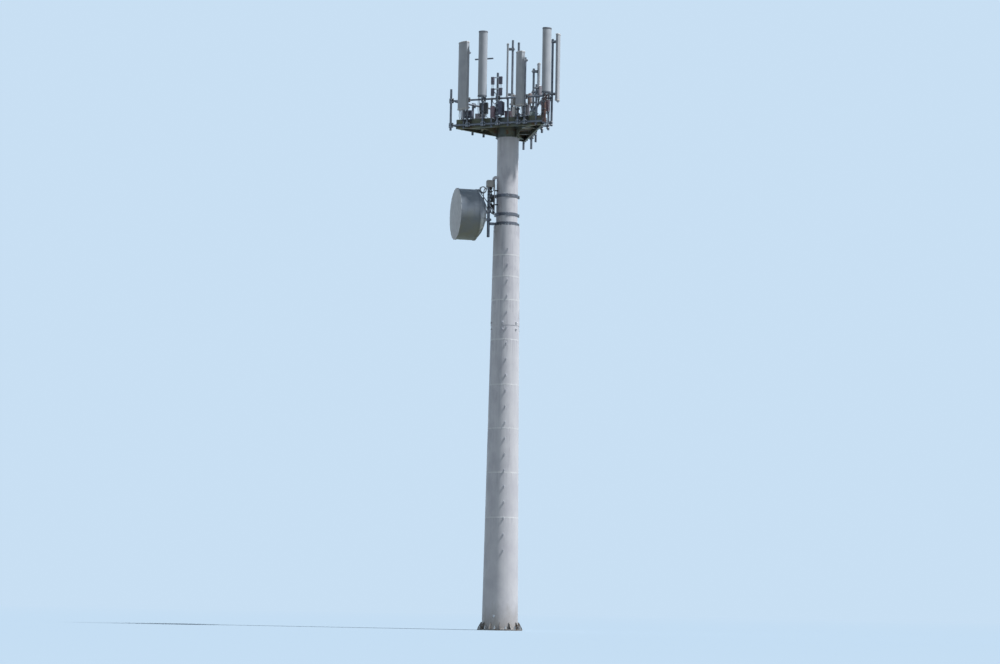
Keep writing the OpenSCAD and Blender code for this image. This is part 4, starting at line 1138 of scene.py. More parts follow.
# Cabinets on the deck, with a door, hinges, a latch and a rain lid
cabinets = {
    "tints": ("unitLilac", "unitPlum", "unitTeal"), "door": 0.006, "doorIn": 0.016,
    "doorEnds": (0.03, 0.012), "lid": 0.006, "lidReach": 0.010, "edge": 0.005,
    "hinge": 0.006, "hingePlace": (0.005, 0.010), "hingeHalf": 0.02, "hingeLevels": (0.25, 0.75),
    "latch": (0.05, 0.03), "latchRise": 0.014, "latchHalf": 0.03,
}
for index, solid in enumerate(boxes):
    s = cabinets
    place = min(faceFrames.values(), key=lambda f: footprint(solid, f))
    low, high = extentIn(solid, place)
    door = high.x + s["door"]
    casing = casings[s["tints"][index % len(s["tints"])]]
    addBox(casing, place, *zip(low, high), s["edge"])
    ys = (low.y + s["doorIn"], high.y - s["doorIn"])
    zs = (low.z + s["doorEnds"][0], high.z - s["doorEnds"][1])
    addBox(casing, place, (high.x, door), ys, zs)
    xs, ys = (low.x - s["lid"], high.x + s["lidReach"]), (low.y - s["lid"], high.y + s["lid"])
    addBox(casings["unitDark"], place, xs, ys, (high.z, high.z + s["lid"]))
    for level in s["hingeLevels"]:
        z = low.z + level * (high.z - low.z) - s["hingeHalf"]
        hinge = place @ shifted(high.x + s["hingePlace"][0], low.y + s["hingePlace"][1], z)
        addRod(fittings, hinge, s["hinge"], 2 * s["hingeHalf"], 12)
    ys, middle = (high.y - s["latch"][0], high.y - s["latch"][1]), (low.z + high.z) / 2
    zs = (middle - s["latchHalf"], middle + s["latchHalf"])
    addBox(fittings, place, (door, high.x + s["latchRise"]), ys, zs)
for index, (tint, bm) in enumerate(casings.items()):
    piece = makePiece("radio_casings_" + tint, bm, tint)
    if index == 0:
        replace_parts(piece, "radio_units")
makePiece("radio_fittings", fittings, "bolt")
print("radio units ready:", len(radioFrames))

# Amplifiers on the two crossbars of the middle pipe
stack = {
    "bar": 0.040, "barEdge": 0.003, "barBolt": 0.016, "barBoltPlace": 0.06, "box": (0.090, 0.130, 0.300),
    "lid": 0.012, "rounding": 0.006,
    "ribs": 7, "ribFrom": 0.03, "ribPitch": 0.038, "ribHeight": 0.006,
    "ribIn": 0.008, "ribRoot": 0.016, "ribEdge": 0.0015,
    "portLength": 0.036, "ports": (0.3, 0.7), "portEnd": 0.034, "screw": 0.014, "screwPlace": (0.4, 0.5),
}
casing, metal, stackPorts = bmesh.new(), bmesh.new(), []
stackFrame = standing(nearestPipe(solidsOf("radio_stack")[0]), math.radians(faceBearings["front"]))
for solid in solidsOf("radio_stack"):
    s = stack
    depth, width, height = s["box"]
    low, high = extentIn(solid, stackFrame)
    barLow, front = high.z - s["bar"], low.x + s["bar"]
    addBox(metal, stackFrame, (low.x, front), (low.y, high.y), (barLow, high.z), s["barEdge"])
    for side in bothSides:
        spot = (front, side * s["barBoltPlace"], barLow + s["bar"] / 2)
        addBolt(metal, stackFrame, spot, (1, 0, 0), s["barBolt"])
        box = stackFrame @ shifted(front, side * (high.y - width / 2), low.z + s["portLength"])
        half = width / 2
        addBox(casing, box, (0, depth - s["lid"]), half, (0, height), s["rounding"], 3)
        for level in range(s["ribs"]):
            z = s["ribFrom"] + level * s["ribPitch"]
            ribDepth = (depth - s["ribRoot"], depth)
            addBox(casing, box, ribDepth, half - s["ribIn"], (z, z + s["ribHeight"]), s["ribEdge"], 1)
        for share in s["ports"]:
            port = box @ shifted(depth / 2, (share - 0.5) * width, 0)
            addConnector(metal, port)
            stackPorts.append(port @ Vector((0, 0, -s["portEnd"])))
        for corner in bothSides:
            spot = (depth * s["screwPlace"][0], corner * half, height * s["screwPlace"][1])
            addBolt(metal, box, spot, (0, corner, 0), s["screw"])
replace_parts(makePiece("amplifier_casings", casing, "amplifier"), "radio_stack")
makePiece("amplifier_fittings", metal, "bolt")

# Radio at the top of the dish's pipe
dishBearing = 194.0
dishFrame = turnedBy(dishBearing)
softened("dish_radio", "unit", width=0.004, angle=40.0)
radioLow, radioHigh = nodeExtent("dish_radio", dishFrame)
print("amplifiers ready")

# Cables: jumpers from the panels to the units behind them, feeders to the cabinets, leads to the hub
cables = {
    "jumper": 0.022, "drop": 0.074, "outerDrop": 0.034, "beside": 0.086, "outerBeside": 0.030,
    "stray": 0.009, "behindHub": -0.6, "deckRise": 0.012,
    "tail": 0.04, "portEnd": 0.034, "boot": 0.0145, "bootLength": 0.040, "pipeBehind": 0.110, "near": 0.02,
    "feeder": 0.027, "feederEnd": 0.075, "feederBend": 0.32, "lay": ((-0.6, -0.55), (0.6, -0.55), (0, 0.5)),
    "ties": (0.3, 0.7), "tie": (0.0305, 0.033, 0.006),
    "glandEnd": 0.024, "lead": 0.014, "leadDrop": 0.07, "leadFoot": (0.34, 0.05),
    "leadClear": 0.10, "leadOver": 0.22, "stackDrop": (0.16, 0.05),
    "hubReach": 0.52, "overToe": (0.05, 0.16), "twin": (0.02, 0.015, 0),
    "stackBeside": 0.058, "stackEnds": (0.55, 0.22),
    "bundle": 0.030, "bundlePlaces": (-0.058, -0.020, 0.020, 0.058), "bundleRadius": 0.060,
    "bundleGap": 0.004,
}


def strayed(point, amount):
    return Vector(point) + Vector([randomDraw.uniform(-amount, amount) for _ in range(3)])


def raised(point, height):
    return Vector((point.x, point.y, height))


def lowered(point, drop):
    return point - Vector((0, 0, drop))


def jumperRoute(start, end, passing, low, s):
    below, before = raised(start, low + 0.05), raised(end, low + 0.02)
    return [
        start, lowered(start, s["tail"]), strayed(below.lerp(start, 0.35), s["stray"]),
        strayed(below.lerp(passing, 0.2), s["stray"]), strayed(passing, s["stray"] * 0.6),
        strayed(before.lerp(passing, 0.15), s["stray"]), lowered(end, s["tail"]), end,
    ]


jumpers = bmesh.new()
for place, width, depth in panelFrames.values():
    s = cables
    pipePlace = place @ Vector((-(s["pipeBehind"] + pipeRadius), 0, 0))
    units = [unit for unit in radioFrames if (unit[3].xy - pipePlace.xy).length < s["near"]]
    if not units:
        continue
    level = place.translation.z
    unit, unitWidth, unitDepth, axis = min(units, key=lambda u: abs(u[0].translation.z - level))
    shares = panels["portPlaces"]
    for share, other in zip(shares, reversed(shares)):
        start = place @ Vector((depth * panels["portDepth"], share * width, -s["portEnd"]))
        end = unit @ Vector((unitDepth * radios["portDepth"], other * unitWidth, -s["portEnd"]))
        outer = abs(other) == max(shares)
        low = end.z - s["drop"] - (s["outerDrop"] if outer else 0)
        side = math.copysign(s["beside"] + (s["outerBeside"] if outer else 0), other)
        passing = shifted(axis.x, axis.y, 0) @ unit.to_3x3().to_4x4() @ Vector((0, side, low))
        addCable(jumpers, jumperRoute(start, end, passing, low, s), s["jumper"])
        for port in (start, end):
            boot = Matrix.Translation(lowered(port, s["portEnd"]))
            addRod(jumpers, boot, s["boot"], s["bootLength"], 14, bevel=0.002)
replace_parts(makeCables("jumper_cables_smooth", jumpers), "jumper_cables")

feeders, ties = bmesh.new(), bmesh.new()
for solid in solidsOf("feeder_cables"):
    s = cables
    tips = [pick(solid, key=lambda p: p.xy.length) for pick in (min, max)]
    start, end = (middleOf([p for p in solid if (p - tip).length < s["feederEnd"]]) for tip in tips)
    # the face that the cabinet stands at: the nearest in line, and not behind the hub
    found = {face: place.inverted() @ end for face, place in faceFrames.items()}
    ahead = [face for face, spot in found.items() if spot.x > s["behindHub"]]
    face = min(ahead, key=lambda name: abs(found[name].y))
    bend = end + directed(faceFrames[face], -1, 0, 0) * s["feederBend"]
    heading = (end - start).normalized()
    across = Vector((-heading.y, heading.x, 0))
    for shift, lift in s["lay"]:
        offset = across * shift * s["feeder"] + Vector((0, 0, lift * s["feeder"]))
        route = (start, start.lerp(bend, 0.5), bend.lerp(start, 0.12), bend.lerp(end, 0.35), end)
        addCable(feeders, [p + offset for p in route], s["feeder"])
    for share in s["ties"]:
        spot = pointed(start.lerp(bend, share), (bend - start).normalized())
        addRing(ties, spot, bandOutline(*s["tie"]), 20)
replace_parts(makeCables("feeder_cables_smooth", feeders), "feeder_cables")
makePiece("feeder_ties", ties, "bracket")

# thin leads from the units over the deck to the hub, and from the amplifiers down their pipe
leads = bmesh.new()
deck = deckTop + cables["deckRise"]
for index, (unit, unitWidth, unitDepth, axis) in enumerate(radioFrames):
    s = cables
    start = unit @ Vector((unitDepth * radios["portDepth"], 0, -s["glandEnd"]))
    outward = raised(axis, 0).normalized()
    foot = raised(axis, deck) - outward * (s["leadFoot"][0] + s["leadFoot"][1] * (index % 3))
    goal = raised(outward * s["hubReach"], deck)
    rise = max(toeTop + s["overToe"][0], min(start.z - s["leadClear"], toeTop + s["overToe"][1]))
    over = raised(axis, rise) - outward * s["leadOver"]
    route = [
        start, lowered(start, s["leadDrop"]), strayed(lowered((start + over) / 2, 0.03), 0.02), over,
        raised(foot, deck + 0.05), foot - outward * 0.10, strayed(foot.lerp(goal, 0.5), 0.0), goal,
    ]
    addCable(leads, route, s["lead"], 2)
    twin = Vector(s["twin"])
    addCable(leads, [p + twin * (1 + i * 0.3) * (i > 0) for i, p in enumerate(route)], s["lead"] * 0.8, 2)
for index, port in enumerate(stackPorts):
    s = cables
    lower = lowered(port, s["stackDrop"][0] + s["stackDrop"][1] * (index % 4))
    side = s["stackBeside"] if index % 4 > 1 else -s["stackBeside"]
    beside = raised(stackFrame.translation, 0) + directed(stackFrame, 0.02 * (index % 2), side, 0)
    levels = [lower.z - 0.16] + [deckTop + height for height in s["stackEnds"]]
    route = [port, lowered(port, 0.05), strayed(lower, 0.012)] + [raised(beside, z) for z in levels]
    addCable(leads, route, s["lead"], 2)
makeCables("thin_leads", leads)

# a faded bundle strapped to the right tall panel's pipe, from its connectors to below the deck
bundle = bmesh.new()
place, width, depth = panelFrames["right_tall"]
axis = place @ Vector((-(cables["pipeBehind"] + pipeRadius), 0, 0))
pipeFoot = min(low.z for low, high in pipeBoxes if ((low + high) / 2 - axis).xy.length < cables["near"])
levels = (place.translation.z - 0.26, place.translation.z - 0.55, deckTop + 0.10, pipeFoot + 0.04)
for y in cables["bundlePlaces"]:
    x = math.sqrt(max(0.0, cables["bundleRadius"] ** 2 - y ** 2)) + cables["bundleGap"]
    beside = axis + directed(place, x, y, 0)
    top = place @ Vector((depth * 0.55, y * 1.4, -0.03))
    route = [top, lowered(top, 0.08)] + [raised(beside, z) for z in levels]
    addCable(bundle, route, cables["bundle"], 3)
makeCables("pipe_bundle", bundle, "cableBrown")
print("cables ready")

# Dish: rim bolts, clips, drum bands, seam straps with rivets, bowl ribs, pipe bolts and waveguide
dish = {
    "rimBolts": 36, "rimBolt": 0.013, "rimBoltPlace": (0.009, 0.008), "drumIn": 0.015,
    "clips": 24, "clipHalf": 0.018, "clip": 0.005, "clipEnds": (-0.045, 0.014),
    "clipIn": -0.020, "clipLip": (0.0105, 0.0145), "clipEdge": 0.0015, "clipBolt": 0.014,
    "bands": (0.26, 0.53), "bandHalf": 0.012, "bandSlope": 0.002, "band": (-0.0005, 0.0025),
    "seams": (0.35, 2.45, 4.55), "strap": ((-0.001, 0.0028), 0.024), "strapEnd": 0.042,
    "rivets": 12, "rivet": 0.008, "rivetEnd": 0.06, "rivetTurn": 0.014, "rivetRise": 0.002,
    "ribs": 12, "ribSteps": 10, "ribFrom": 0.17, "ribTo": 0.03,
    "ribHeight": (0.040, 0.018), "ribHalf": 0.004,
    "bowlIn": 0.006, "hoops": (0.42, 0.72), "hoopHalf": 0.012,
    "hubBolts": 8, "hubBoltCircle": 0.135, "hubBoltPlace": -0.012, "hubBolt": 0.022,
    "yokeBolt": 0.026, "yokeRises": (0.045, 0.085), "yokeReach": 0.024, "yokePlate": 0.020,
    "yokeSpread": (0.115, (-0.19, -0.07, 0.07, 0.19)), "pipeSpread": 0.072,
    "collarEars": (-76, 76, 180), "earRadius": 0.473, "earHalf": 0.035,
    "earSpread": 0.034, "earBolt": 0.028,
    "guide": 0.036, "loopRadius": 0.13, "loopTurns": 3, "loopSteps": 12, "loopFrom": 150,
    "loopPitch": 0.040, "loopShrink": 0.006,
    "loopTies": (0.6, 2.7, 4.8), "loopTie": ((-0.030, 0.024), 0.075, 0.008),
}
drumLow, drumHigh = nodeExtent("dish_drum", dishFrame)
bowlLow, bowlHigh = nodeExtent("dish_reflector", dishFrame)
pipeLow, pipeHigh = nodeExtent("dish_pipe", dishFrame)
yokeLow, yokeHigh = nodeExtent("dish_yoke", dishFrame)
dishMiddle = (drumLow + drumHigh) / 2
middleZ = dishMiddle.z
flangeRadius = (drumHigh.z - drumLow.z) / 2
drumRadius = flangeRadius - dish["drumIn"]
drumLength = drumHigh.x - drumLow.x


def facingOut(x):
    # a frame on the dish's axis, +Z the way the dish faces
    return dishFrame @ shifted(x, dishMiddle.y, dishMiddle.z) @ turnedAbout("Y", 90)


def roundAxis(own, angle, radius, along):
    return own @ Matrix.Rotation(angle, 4, "Z") @ shifted(radius, 0, along)


drumFrame, bowlFrame = facingOut(drumLow.x), facingOut(bowlLow.x)
metal, sheet = bmesh.new(), bmesh.new()
rimIn, rimBack = dish["rimBoltPlace"]
for index in range(dish["rimBolts"]):
    angle = math.tau * (index + 0.5) / dish["rimBolts"]
    spot = roundAxis(drumFrame, angle, flangeRadius - rimIn, -rimBack).translation
    addBolt(metal, atOrigin, spot, directed(drumFrame, 0, 0, -1), dish["rimBolt"])
for index in range(dish["clips"]):
    spot = roundAxis(drumFrame, math.tau * index / dish["clips"], flangeRadius, drumLength)
    addBox(sheet, spot, (0.0, dish["clip"]), dish["clipHalf"], dish["clipEnds"], dish["clipEdge"], 1)
    lip = (dish["clipIn"], dish["clip"])
    addBox(sheet, spot, lip, dish["clipHalf"], dish["clipLip"], dish["clipEdge"], 1)
    addBolt(metal, spot, (dish["clip"], 0, dish["clipIn"]), (1, 0, 0), dish["clipBolt"])
for along in dish["bands"]:
    half, slope = dish["bandHalf"], dish["bandSlope"]
    inner, outer = (drumRadius + reach for reach in dish["band"])
    outline = [(inner, -half), (outer, slope - half), (outer, half - slope), (inner, half)]
    addRing(sheet, drumFrame @ shifted(0, 0, along), outline, 128)
for angle in dish["seams"]:
    for step in range(dish["rivets"]):
        along = dish["rivetEnd"] + step * (drumLength - 2 * dish["rivetEnd"]) / (dish["rivets"] - 1)
        for side in bothSides:
            turned = angle + side * dish["rivetTurn"]
            spot = roundAxis(drumFrame, turned, drumRadius + dish["rivetRise"], along)
            addBolt(metal, spot, (0, 0, 0), (1, 0, 0), dish["rivet"])
    strap = roundAxis(drumFrame, angle, drumRadius, 0)
    strapLength = (dish["strapEnd"], drumLength - dish["strapEnd"])
    addBox(sheet, strap, *dish["strap"], strapLength, bevel=0.001, segments=1)
makePiece("drum_trim", sheet, "dishPaintShaded")

# ribs and stiffening rings behind the bowl, taken from its round back
bowl = bmesh.new()
depth = bowlHigh.x - bowlLow.x
rimRadius = drumRadius - dish["bowlIn"]
bowlRadius = (rimRadius ** 2 + depth ** 2) / (2 * depth)


def bowlBack(radius):
    return bowlRadius - math.sqrt(bowlRadius ** 2 - radius ** 2)


def addRib(bm, own, s):
    last = s["ribSteps"] - 1
    steps = range(s["ribSteps"])
    radii = [s["ribFrom"] + i * (rimRadius - s["ribFrom"] - s["ribTo"]) / last for i in steps]
    inner = [(r, bowlBack(r) + 0.001) for r in radii]
    tall, short = s["ribHeight"]
    outer = [(r, z - (tall - (tall - short) * i / last)) for i, (r, z) in enumerate(inner)]
    near, far = (
        [bm.verts.new(own @ Vector((r, side, z))) for r, z in inner + outer[::-1]]
        for side in (-s["ribHalf"], s["ribHalf"])
    )
    bm.faces.new(near)
    bm.faces.new(far[::-1])
    for i in range(len(far)):
        bm.faces.new((near[i - 1], far[i - 1], far[i], near[i]))


for index in range(dish["ribs"]):
    addRib(bowl, roundAxis(bowlFrame, math.tau * (index + 0.5) / dish["ribs"], 0, 0), dish)
for radius in dish["hoops"]:
    z, inner, outer = bowlBack(radius), radius - dish["hoopHalf"], radius + dish["hoopHalf"]
    outline = [(inner, z + 0.001), (inner, z - 0.024), (outer, z - 0.020), (outer, z + 0.006)]
    addRing(bowl, bowlFrame, outline)
addRing(bowl, bowlFrame, [(0.10, -0.012), (0.165, -0.012), (0.175, 0.012), (0.10, 0.012)], 64)
makePiece("bowl_ribs", bowl, "dishPaintShaded")
for index in range(dish["hubBolts"]):
    angle = math.tau * index / dish["hubBolts"]
    spot = roundAxis(bowlFrame, angle, dish["hubBoltCircle"], dish["hubBoltPlace"]).translation
    addBolt(metal, atOrigin, spot, directed(bowlFrame, 0, 0, -1), dish["hubBolt"])

# bolts round the dish's pipe, in the yoke's plate and in the bands' ears
dishAxis = dishFrame @ Vector(((pipeLow.x + pipeHigh.x) / 2, (pipeLow.y + pipeHigh.y) / 2, 0))
dishPipeRadius = (pipeHigh.y - pipeLow.y) / 2
axisFrame = shifted(dishAxis.x, dishAxis.y, 0) @ dishFrame
yokeLevels = [yokeLow.z + rise for rise in dish["yokeRises"]]
yokeLevels += [yokeHigh.z - rise for rise in dish["yokeRises"][::-1]]
for level in yokeLevels:
    for side in bothSides:
        spot = (-(dishPipeRadius + dish["yokeReach"]), side * dish["pipeSpread"], level)
        addBolt(metal, axisFrame, spot, (-1, 0, 0), dish["yokeBolt"], boltStud)
spreadY, spreadZ = dish["yokeSpread"]
for side in bothSides:
    for z in spreadZ:
        spot = (yokeHigh.x - dish["yokePlate"], dishMiddle.y + side * spreadY, middleZ + z)
        addBolt(metal, dishFrame, spot, (-1, 0, 0), dish["yokeBolt"], boltStud)
collarHeights = [[p.z for p in solid] for solid in solidsOf("dish_collars")]
for level in sorted({round((min(heights) + max(heights)) / 2, 3) for heights in collarHeights}):
    for ear in dish["collarEars"]:
        own = turnedBy(dishBearing + ear)
        for side in bothSides:
            for z in (level - dish["earSpread"], level + dish["earSpread"]):
                spot = (dish["earRadius"], side * dish["earHalf"], z)
                addBolt(metal, own, spot, (0, side, 0), dish["earBolt"], boltStud)
makePiece("dish_bolts", metal, "bolt")

# waveguide: from the radio by a spare coil behind the drum's upper edge to the bowl's middle
guide = bmesh.new()
coil = Vector((yokeHigh.x + 0.085, 0.02, middleZ + 1.02))
start = Vector((radioHigh.x - 0.05, 0.05, radioLow.z))
route = [start, lowered(start, 0.05)]
for step in range(dish["loopTurns"] * dish["loopSteps"] + 1):
    done = step / dish["loopSteps"]
    angle = math.radians(dish["loopFrom"]) - math.tau * done
    reach = dish["loopRadius"] - dish["loopShrink"] * done
    sideways = dish["loopPitch"] * (done - dish["loopTurns"] / 2)
    route.append(coil + Vector((reach * math.cos(angle), sideways, reach * math.sin(angle))))
route += [
    Vector((yokeHigh.x + 0.10, 0.19, middleZ + 0.62)), Vector((yokeHigh.x - 0.01, 0.20, middleZ + 0.34)),
    Vector((yokeHigh.x - 0.06, 0.17, middleZ + 0.12)), Vector((bowlLow.x - 0.004, 0.115, middleZ + 0.02)),
]
addCable(guide, [dishFrame @ p for p in route], dish["guide"], 3)
for angle in dish["loopTies"]:
    spot = coil + Vector((math.cos(angle), 0, math.sin(angle))) * dish["loopRadius"]
    own = dishFrame @ Matrix.Translation(spot) @ Matrix.Rotation(-angle, 4, "Y")
    addBox(guide, own, *dish["loopTie"], bevel=0.003)
makeCables("waveguide", guide, "cableGrey")

# Hangers on the dish's pipe with the cables that they hold, small boxes, and conduits from the boot
hanging = {
    "count": 7, "from": 0.34, "pitch": 0.125, "behind": 0.030, "ring": (0.0005, 0.004, 0.012),
    "block": (-0.036, 0.024), "blockSize": (0.075, 0.026), "bolt": 0.020, "cable": 0.026,
    "cablePlaces": (-0.045, 0.0, 0.045), "boxUndersides": ((-0.090, 0.30), (-0.055, 0.30), (0.050, 0.56)),
    # height above the dish's middle from and to, and the place across
    "boxes": ((0.56, 0.80, 0.0), (0.30, 0.46, -0.04)), "box": (-0.150, -0.040), "boxHalf": 0.07,
    "lid": 0.006, "lidIn": (0.015, 0.02),
    "boot": 0.555, "bootRise": 1.850, "conduit": 0.032, "conduitPlaces": (0.095, 0.133),
    "conduitClips": (0.44, 1.00), "clip": ((0.405, 0.567), (0.074, 0.154), 0.02),
    "tails": (-0.030, 0.0, 0.030), "tail": 0.018,
}
hangers, guide, conduits = bmesh.new(), bmesh.new(), bmesh.new()
behind = -(dishPipeRadius + hanging["behind"])
levels = [middleZ + hanging["from"] + hanging["pitch"] * i for i in range(hanging["count"])]
ringIn, ringOut, ringHalf = hanging["ring"]
block = tuple(behind + x for x in hanging["block"])
for level in levels:
    own = axisFrame @ shifted(0, 0, level)
    addRing(hangers, own, bandOutline(dishPipeRadius + ringIn, dishPipeRadius + ringOut, ringHalf), 36)
    addBox(hangers, own, block, *hanging["blockSize"], bevel=0.006)
    addBolt(hangers, own, (block[0], 0, 0), (-1, 0, 0), hanging["bolt"], boltStud)
for index, y in enumerate(hanging["cablePlaces"]):
    x = behind - 0.006
    endY, endZ = hanging["boxUndersides"][index]
    route = [(x, y, z) for z in [radioLow.z + 0.005] + levels[::-2]]
    route += [
        (behind - 0.055, (y + endY) / 2, middleZ + 0.14 - 0.03 * index),
        (behind - 0.095, endY, middleZ + 0.24), (behind - 0.095, endY, middleZ + endZ),
    ]
    addCable(guide, [axisFrame @ Vector(p) for p in route], hanging["cable"], 3)
for low, high, y in hanging["boxes"]:
    back, front = (behind + x for x in hanging["box"])
    half, (inY, inZ) = hanging["boxHalf"], hanging["lidIn"]
    low, high = middleZ + low, middleZ + high
    own = axisFrame @ shifted(0, y, 0)
    addBox(hangers, own, (back, front), half, (low, high), bevel=0.008)
    addBox(hangers, own, (back - hanging["lid"], back), half - inY, (low + inZ, high - inZ))
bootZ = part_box("shaft_cap")[1][2] + hanging["bootRise"]
for index, y in enumerate(hanging["conduitPlaces"]):
    endY = 0.012 - 0.034 * index
    mouth = Vector((0.528, 0.020 - 0.040 * index, bootZ + 0.03))
    route = [
        mouth, lowered(mouth, 0.09), (0.542, y, bootZ - 0.24),
        (0.545, y, middleZ + 0.70), (0.545, y, middleZ + 0.26),
        (0.557, (y + endY) / 2, middleZ + 0.08 - 0.035 * index), (0.570, endY, middleZ + 0.24),
        (0.570, endY, middleZ + 0.302),
    ]
    addCable(conduits, [dishFrame @ Vector(p) for p in route], hanging["conduit"], 3)
clipX, clipY, clipHalf = hanging["clip"]
for level in hanging["conduitClips"]:
    zs = (middleZ + level - clipHalf, middleZ + level + clipHalf)
    addBox(hangers, dishFrame, clipX, clipY, zs, bevel=0.004)
makeCables("boot_conduits", conduits, "conduitPale")
makePiece("pipe_hangers", hangers, "rubber")
bootFoot = dishFrame @ Vector((hanging["boot"], 0, bootZ))
for shift in hanging["tails"]:
    aside = directed(dishFrame, 0, shift, 0)
    start = dishFrame @ Vector((radioLow.x + 0.085, -0.05, radioLow.z)) + aside
    below = dishFrame @ Vector((hanging["boot"], 0, radioLow.z - 0.02)) + aside * 0.8
    lowest = lowered((start + below) / 2, 0.15)
    end = bootFoot + aside * 0.7 + Vector((0, 0, 0.03))
    addCable(guide, [start, lowered(start, 0.07), lowest, below, end], hanging["tail"], 3)
makeCables("dish_cables", guide)
print("dish ready")

# Shaft: weld beads, seams, jacking lugs, flange bolts, lug bolts, cable port and foot
trim = {
    "bead": 0.005, "slipDrop": 0.002, "slipBead": 0.009, "beadRise": 0.004, "footBead": 0.012,
    "capBead": 0.010, "extensionBead": 0.004,
    "extensionWelds": (17.10, 18.62), "extensionRadius": 0.425, "capFlange": 0.025,
    "seam": 0.0045, "seamParts": 6, "seamTurn": 137.0, "seamFrom": 20, "seamEnds": (0.02, 0.03),
    "ownerAbove": 0.4,
    "lugs": 6, "lugPlaces": (-0.16, 0.10), "lug": ((-0.006, 0.030), 0.030, 0.035), "lugBolt": 0.024,
    "capBolts": 24, "capBoltCircle": 0.472, "capBoltIn": 0.028, "capBolt": 0.036,
    "pegBolt": 0.026, "pegIn": 0.022, "pegHalf": 0.006,
    "portBolt": 0.018, "portBoltIn": (0.025, 0.03), "portBolts": 5, "portHandle": (0.13, 0.045, 0.012),
    "portHandleRise": 0.04,
    "anchors": 12, "anchorIn": 0.075, "anchorBolt": 0.065, "anchorRise": 0.006,
    # radius, height, sides, edge and height above the plate of washer, thread and levelling nut
    "washer": (0.044, 0.008, 24, 0.0015, 0.0), "thread": (0.0205, 0.085, 20, 0.003, 0.040),
    "nut": (0.036, 0.026, 6, 0.002, 0.046),
    "earthBearing": 250, "earthHeight": 0.55, "earth": ((-0.006, 0.012), 0.03, 0.04), "earthBolt": 0.022,
}
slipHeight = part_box("upper_shaft")[0][2]
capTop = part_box("shaft_cap")[1][2]
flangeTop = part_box("base_flange")[1][2]
topOfFlange = capTop + trim["capFlange"]


def addBead(bm, radius, height, bead):
    rise, run, sunk = bead * 0.75, bead * 0.7, radius - 0.001
    addRing(bm, atOrigin, [
        (sunk, height - bead * 1.4), (radius + rise, height - run), (radius + bead, height),
        (radius + rise, height + run), (sunk, height + bead * 1.4),
    ])


bm = bmesh.new()
for height in shaftSettings["welds"]:
    owner = "upper_shaft" if height > slipHeight else "lower_shaft"
    addBead(bm, shaftRadius(owner, height), height, trim["bead"])
addBead(bm, shaftRadius("lower_shaft", slipHeight), slipHeight - trim["slipDrop"], trim["slipBead"])
addBead(bm, shaftRadius("lower_shaft", flangeTop), flangeTop + trim["beadRise"], trim["footBead"])
addBead(bm, trim["extensionRadius"], topOfFlange + trim["beadRise"], trim["capBead"])
for height in trim["extensionWelds"]:
    addBead(bm, trim["extensionRadius"], height, trim["extensionBead"])
makePiece("shaft_welds", bm, "shaft", 50)

# upright seams of the shaft's sections, turned against each other
bm = bmesh.new()
levels = [flangeTop + trim["seamEnds"][0]] + shaftSettings["welds"] + [capTop - trim["seamEnds"][1]]
for index, (low, high) in enumerate(zip(levels, levels[1:])):
    owner = "upper_shaft" if high > slipHeight + trim["ownerAbove"] else "lower_shaft"
    start = max(low, slipHeight) if owner == "upper_shaft" else low
    own = turnedBy((index * trim["seamTurn"] + trim["seamFrom"]) % 360)
    for part in range(trim["seamParts"]):
        z0, z1 = (start + (high - start) * (part + more) / trim["seamParts"] for more in (0, 1))
        foot, head = (own @ Vector((shaftRadius(owner, z), 0, z)) for z in (z0, z1))
        addRod(bm, pointed(foot, head - foot), trim["seam"], (head - foot).length, 8)
makePiece("shaft_seams", bm, "shaft", 60)

# jacking lugs below and above the slip joint
bm, metal = bmesh.new(), bmesh.new()
for index in range(trim["lugs"]):
    for rise, owner in zip(trim["lugPlaces"], ("lower_shaft", "upper_shaft")):
        height = slipHeight + rise
        own = turnedBy(20 + index * 360 / trim["lugs"]) @ shifted(shaftRadius(owner, height), 0, height)
        addBox(bm, own, *trim["lug"], bevel=0.004)
        addBolt(metal, own, (trim["lug"][0][1], 0, 0), (1, 0, 0), trim["lugBolt"])
makePiece("jacking_lugs", bm, "shaft")

# bolts of the flange between the shaft's cap and the extension
circle = min(trim["capBoltCircle"], shaftRadius("upper_shaft", capTop) - trim["capBoltIn"])
for index in range(trim["capBolts"]):
    bearing = math.tau * (index + 0.5) / trim["capBolts"]
    spot = (math.cos(bearing) * circle, math.sin(bearing) * circle, topOfFlange)
    addBolt(metal, atOrigin, spot, (0, 0, 1), trim["capBolt"], boltStud)
makePiece("shaft_bolts", metal, "bolt")

# bolts through the climbing pegs' lugs, turned about from lug to lug
bm = bmesh.new()
for index, solid in enumerate(sorted(solidsOf("step_lugs"), key=lambda g: g[0].z)):
    centre = middleOf(solid)
    own = Matrix.Rotation(math.atan2(centre.y, centre.x), 4, "Z")
    low, high = extentIn(solid, own)
    for side in (1, -1) if index % 2 else (-1, 1):
        spot = (high.x - trim["pegIn"], side * trim["pegHalf"], (low.z + high.z) / 2)
        addBolt(bm, own, spot, (0, side, 0), trim["pegBolt"])
makePiece("step_lug_bolts", bm, "bolt")

# cable port: cover bolts and a handle
portLow, portHigh = (Vector(corner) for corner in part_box("port_cover"))
portMiddle, portHalf = (portLow + portHigh) / 2, (portHigh - portLow) / 2
bm = bmesh.new()
front = shifted(portMiddle.x, portHigh.y, portMiddle.z) @ turnedAbout("Z", 90)
inY, inZ = trim["portBoltIn"]
for y in (inY - portHalf.x, portHalf.x - inY):
    for step in range(trim["portBolts"]):
        z = inZ - portHalf.z + step * 2 * (portHalf.z - inZ) / (trim["portBolts"] - 1)
        addBolt(bm, front, (0, y, z), (1, 0, 0), trim["portBolt"])
addHandle(bm, front @ shifted(0, 0, trim["portHandleRise"]) @ turnedAbout("Y", 90), *trim["portHandle"])
makePiece("port_bolts", bm, "bolt")

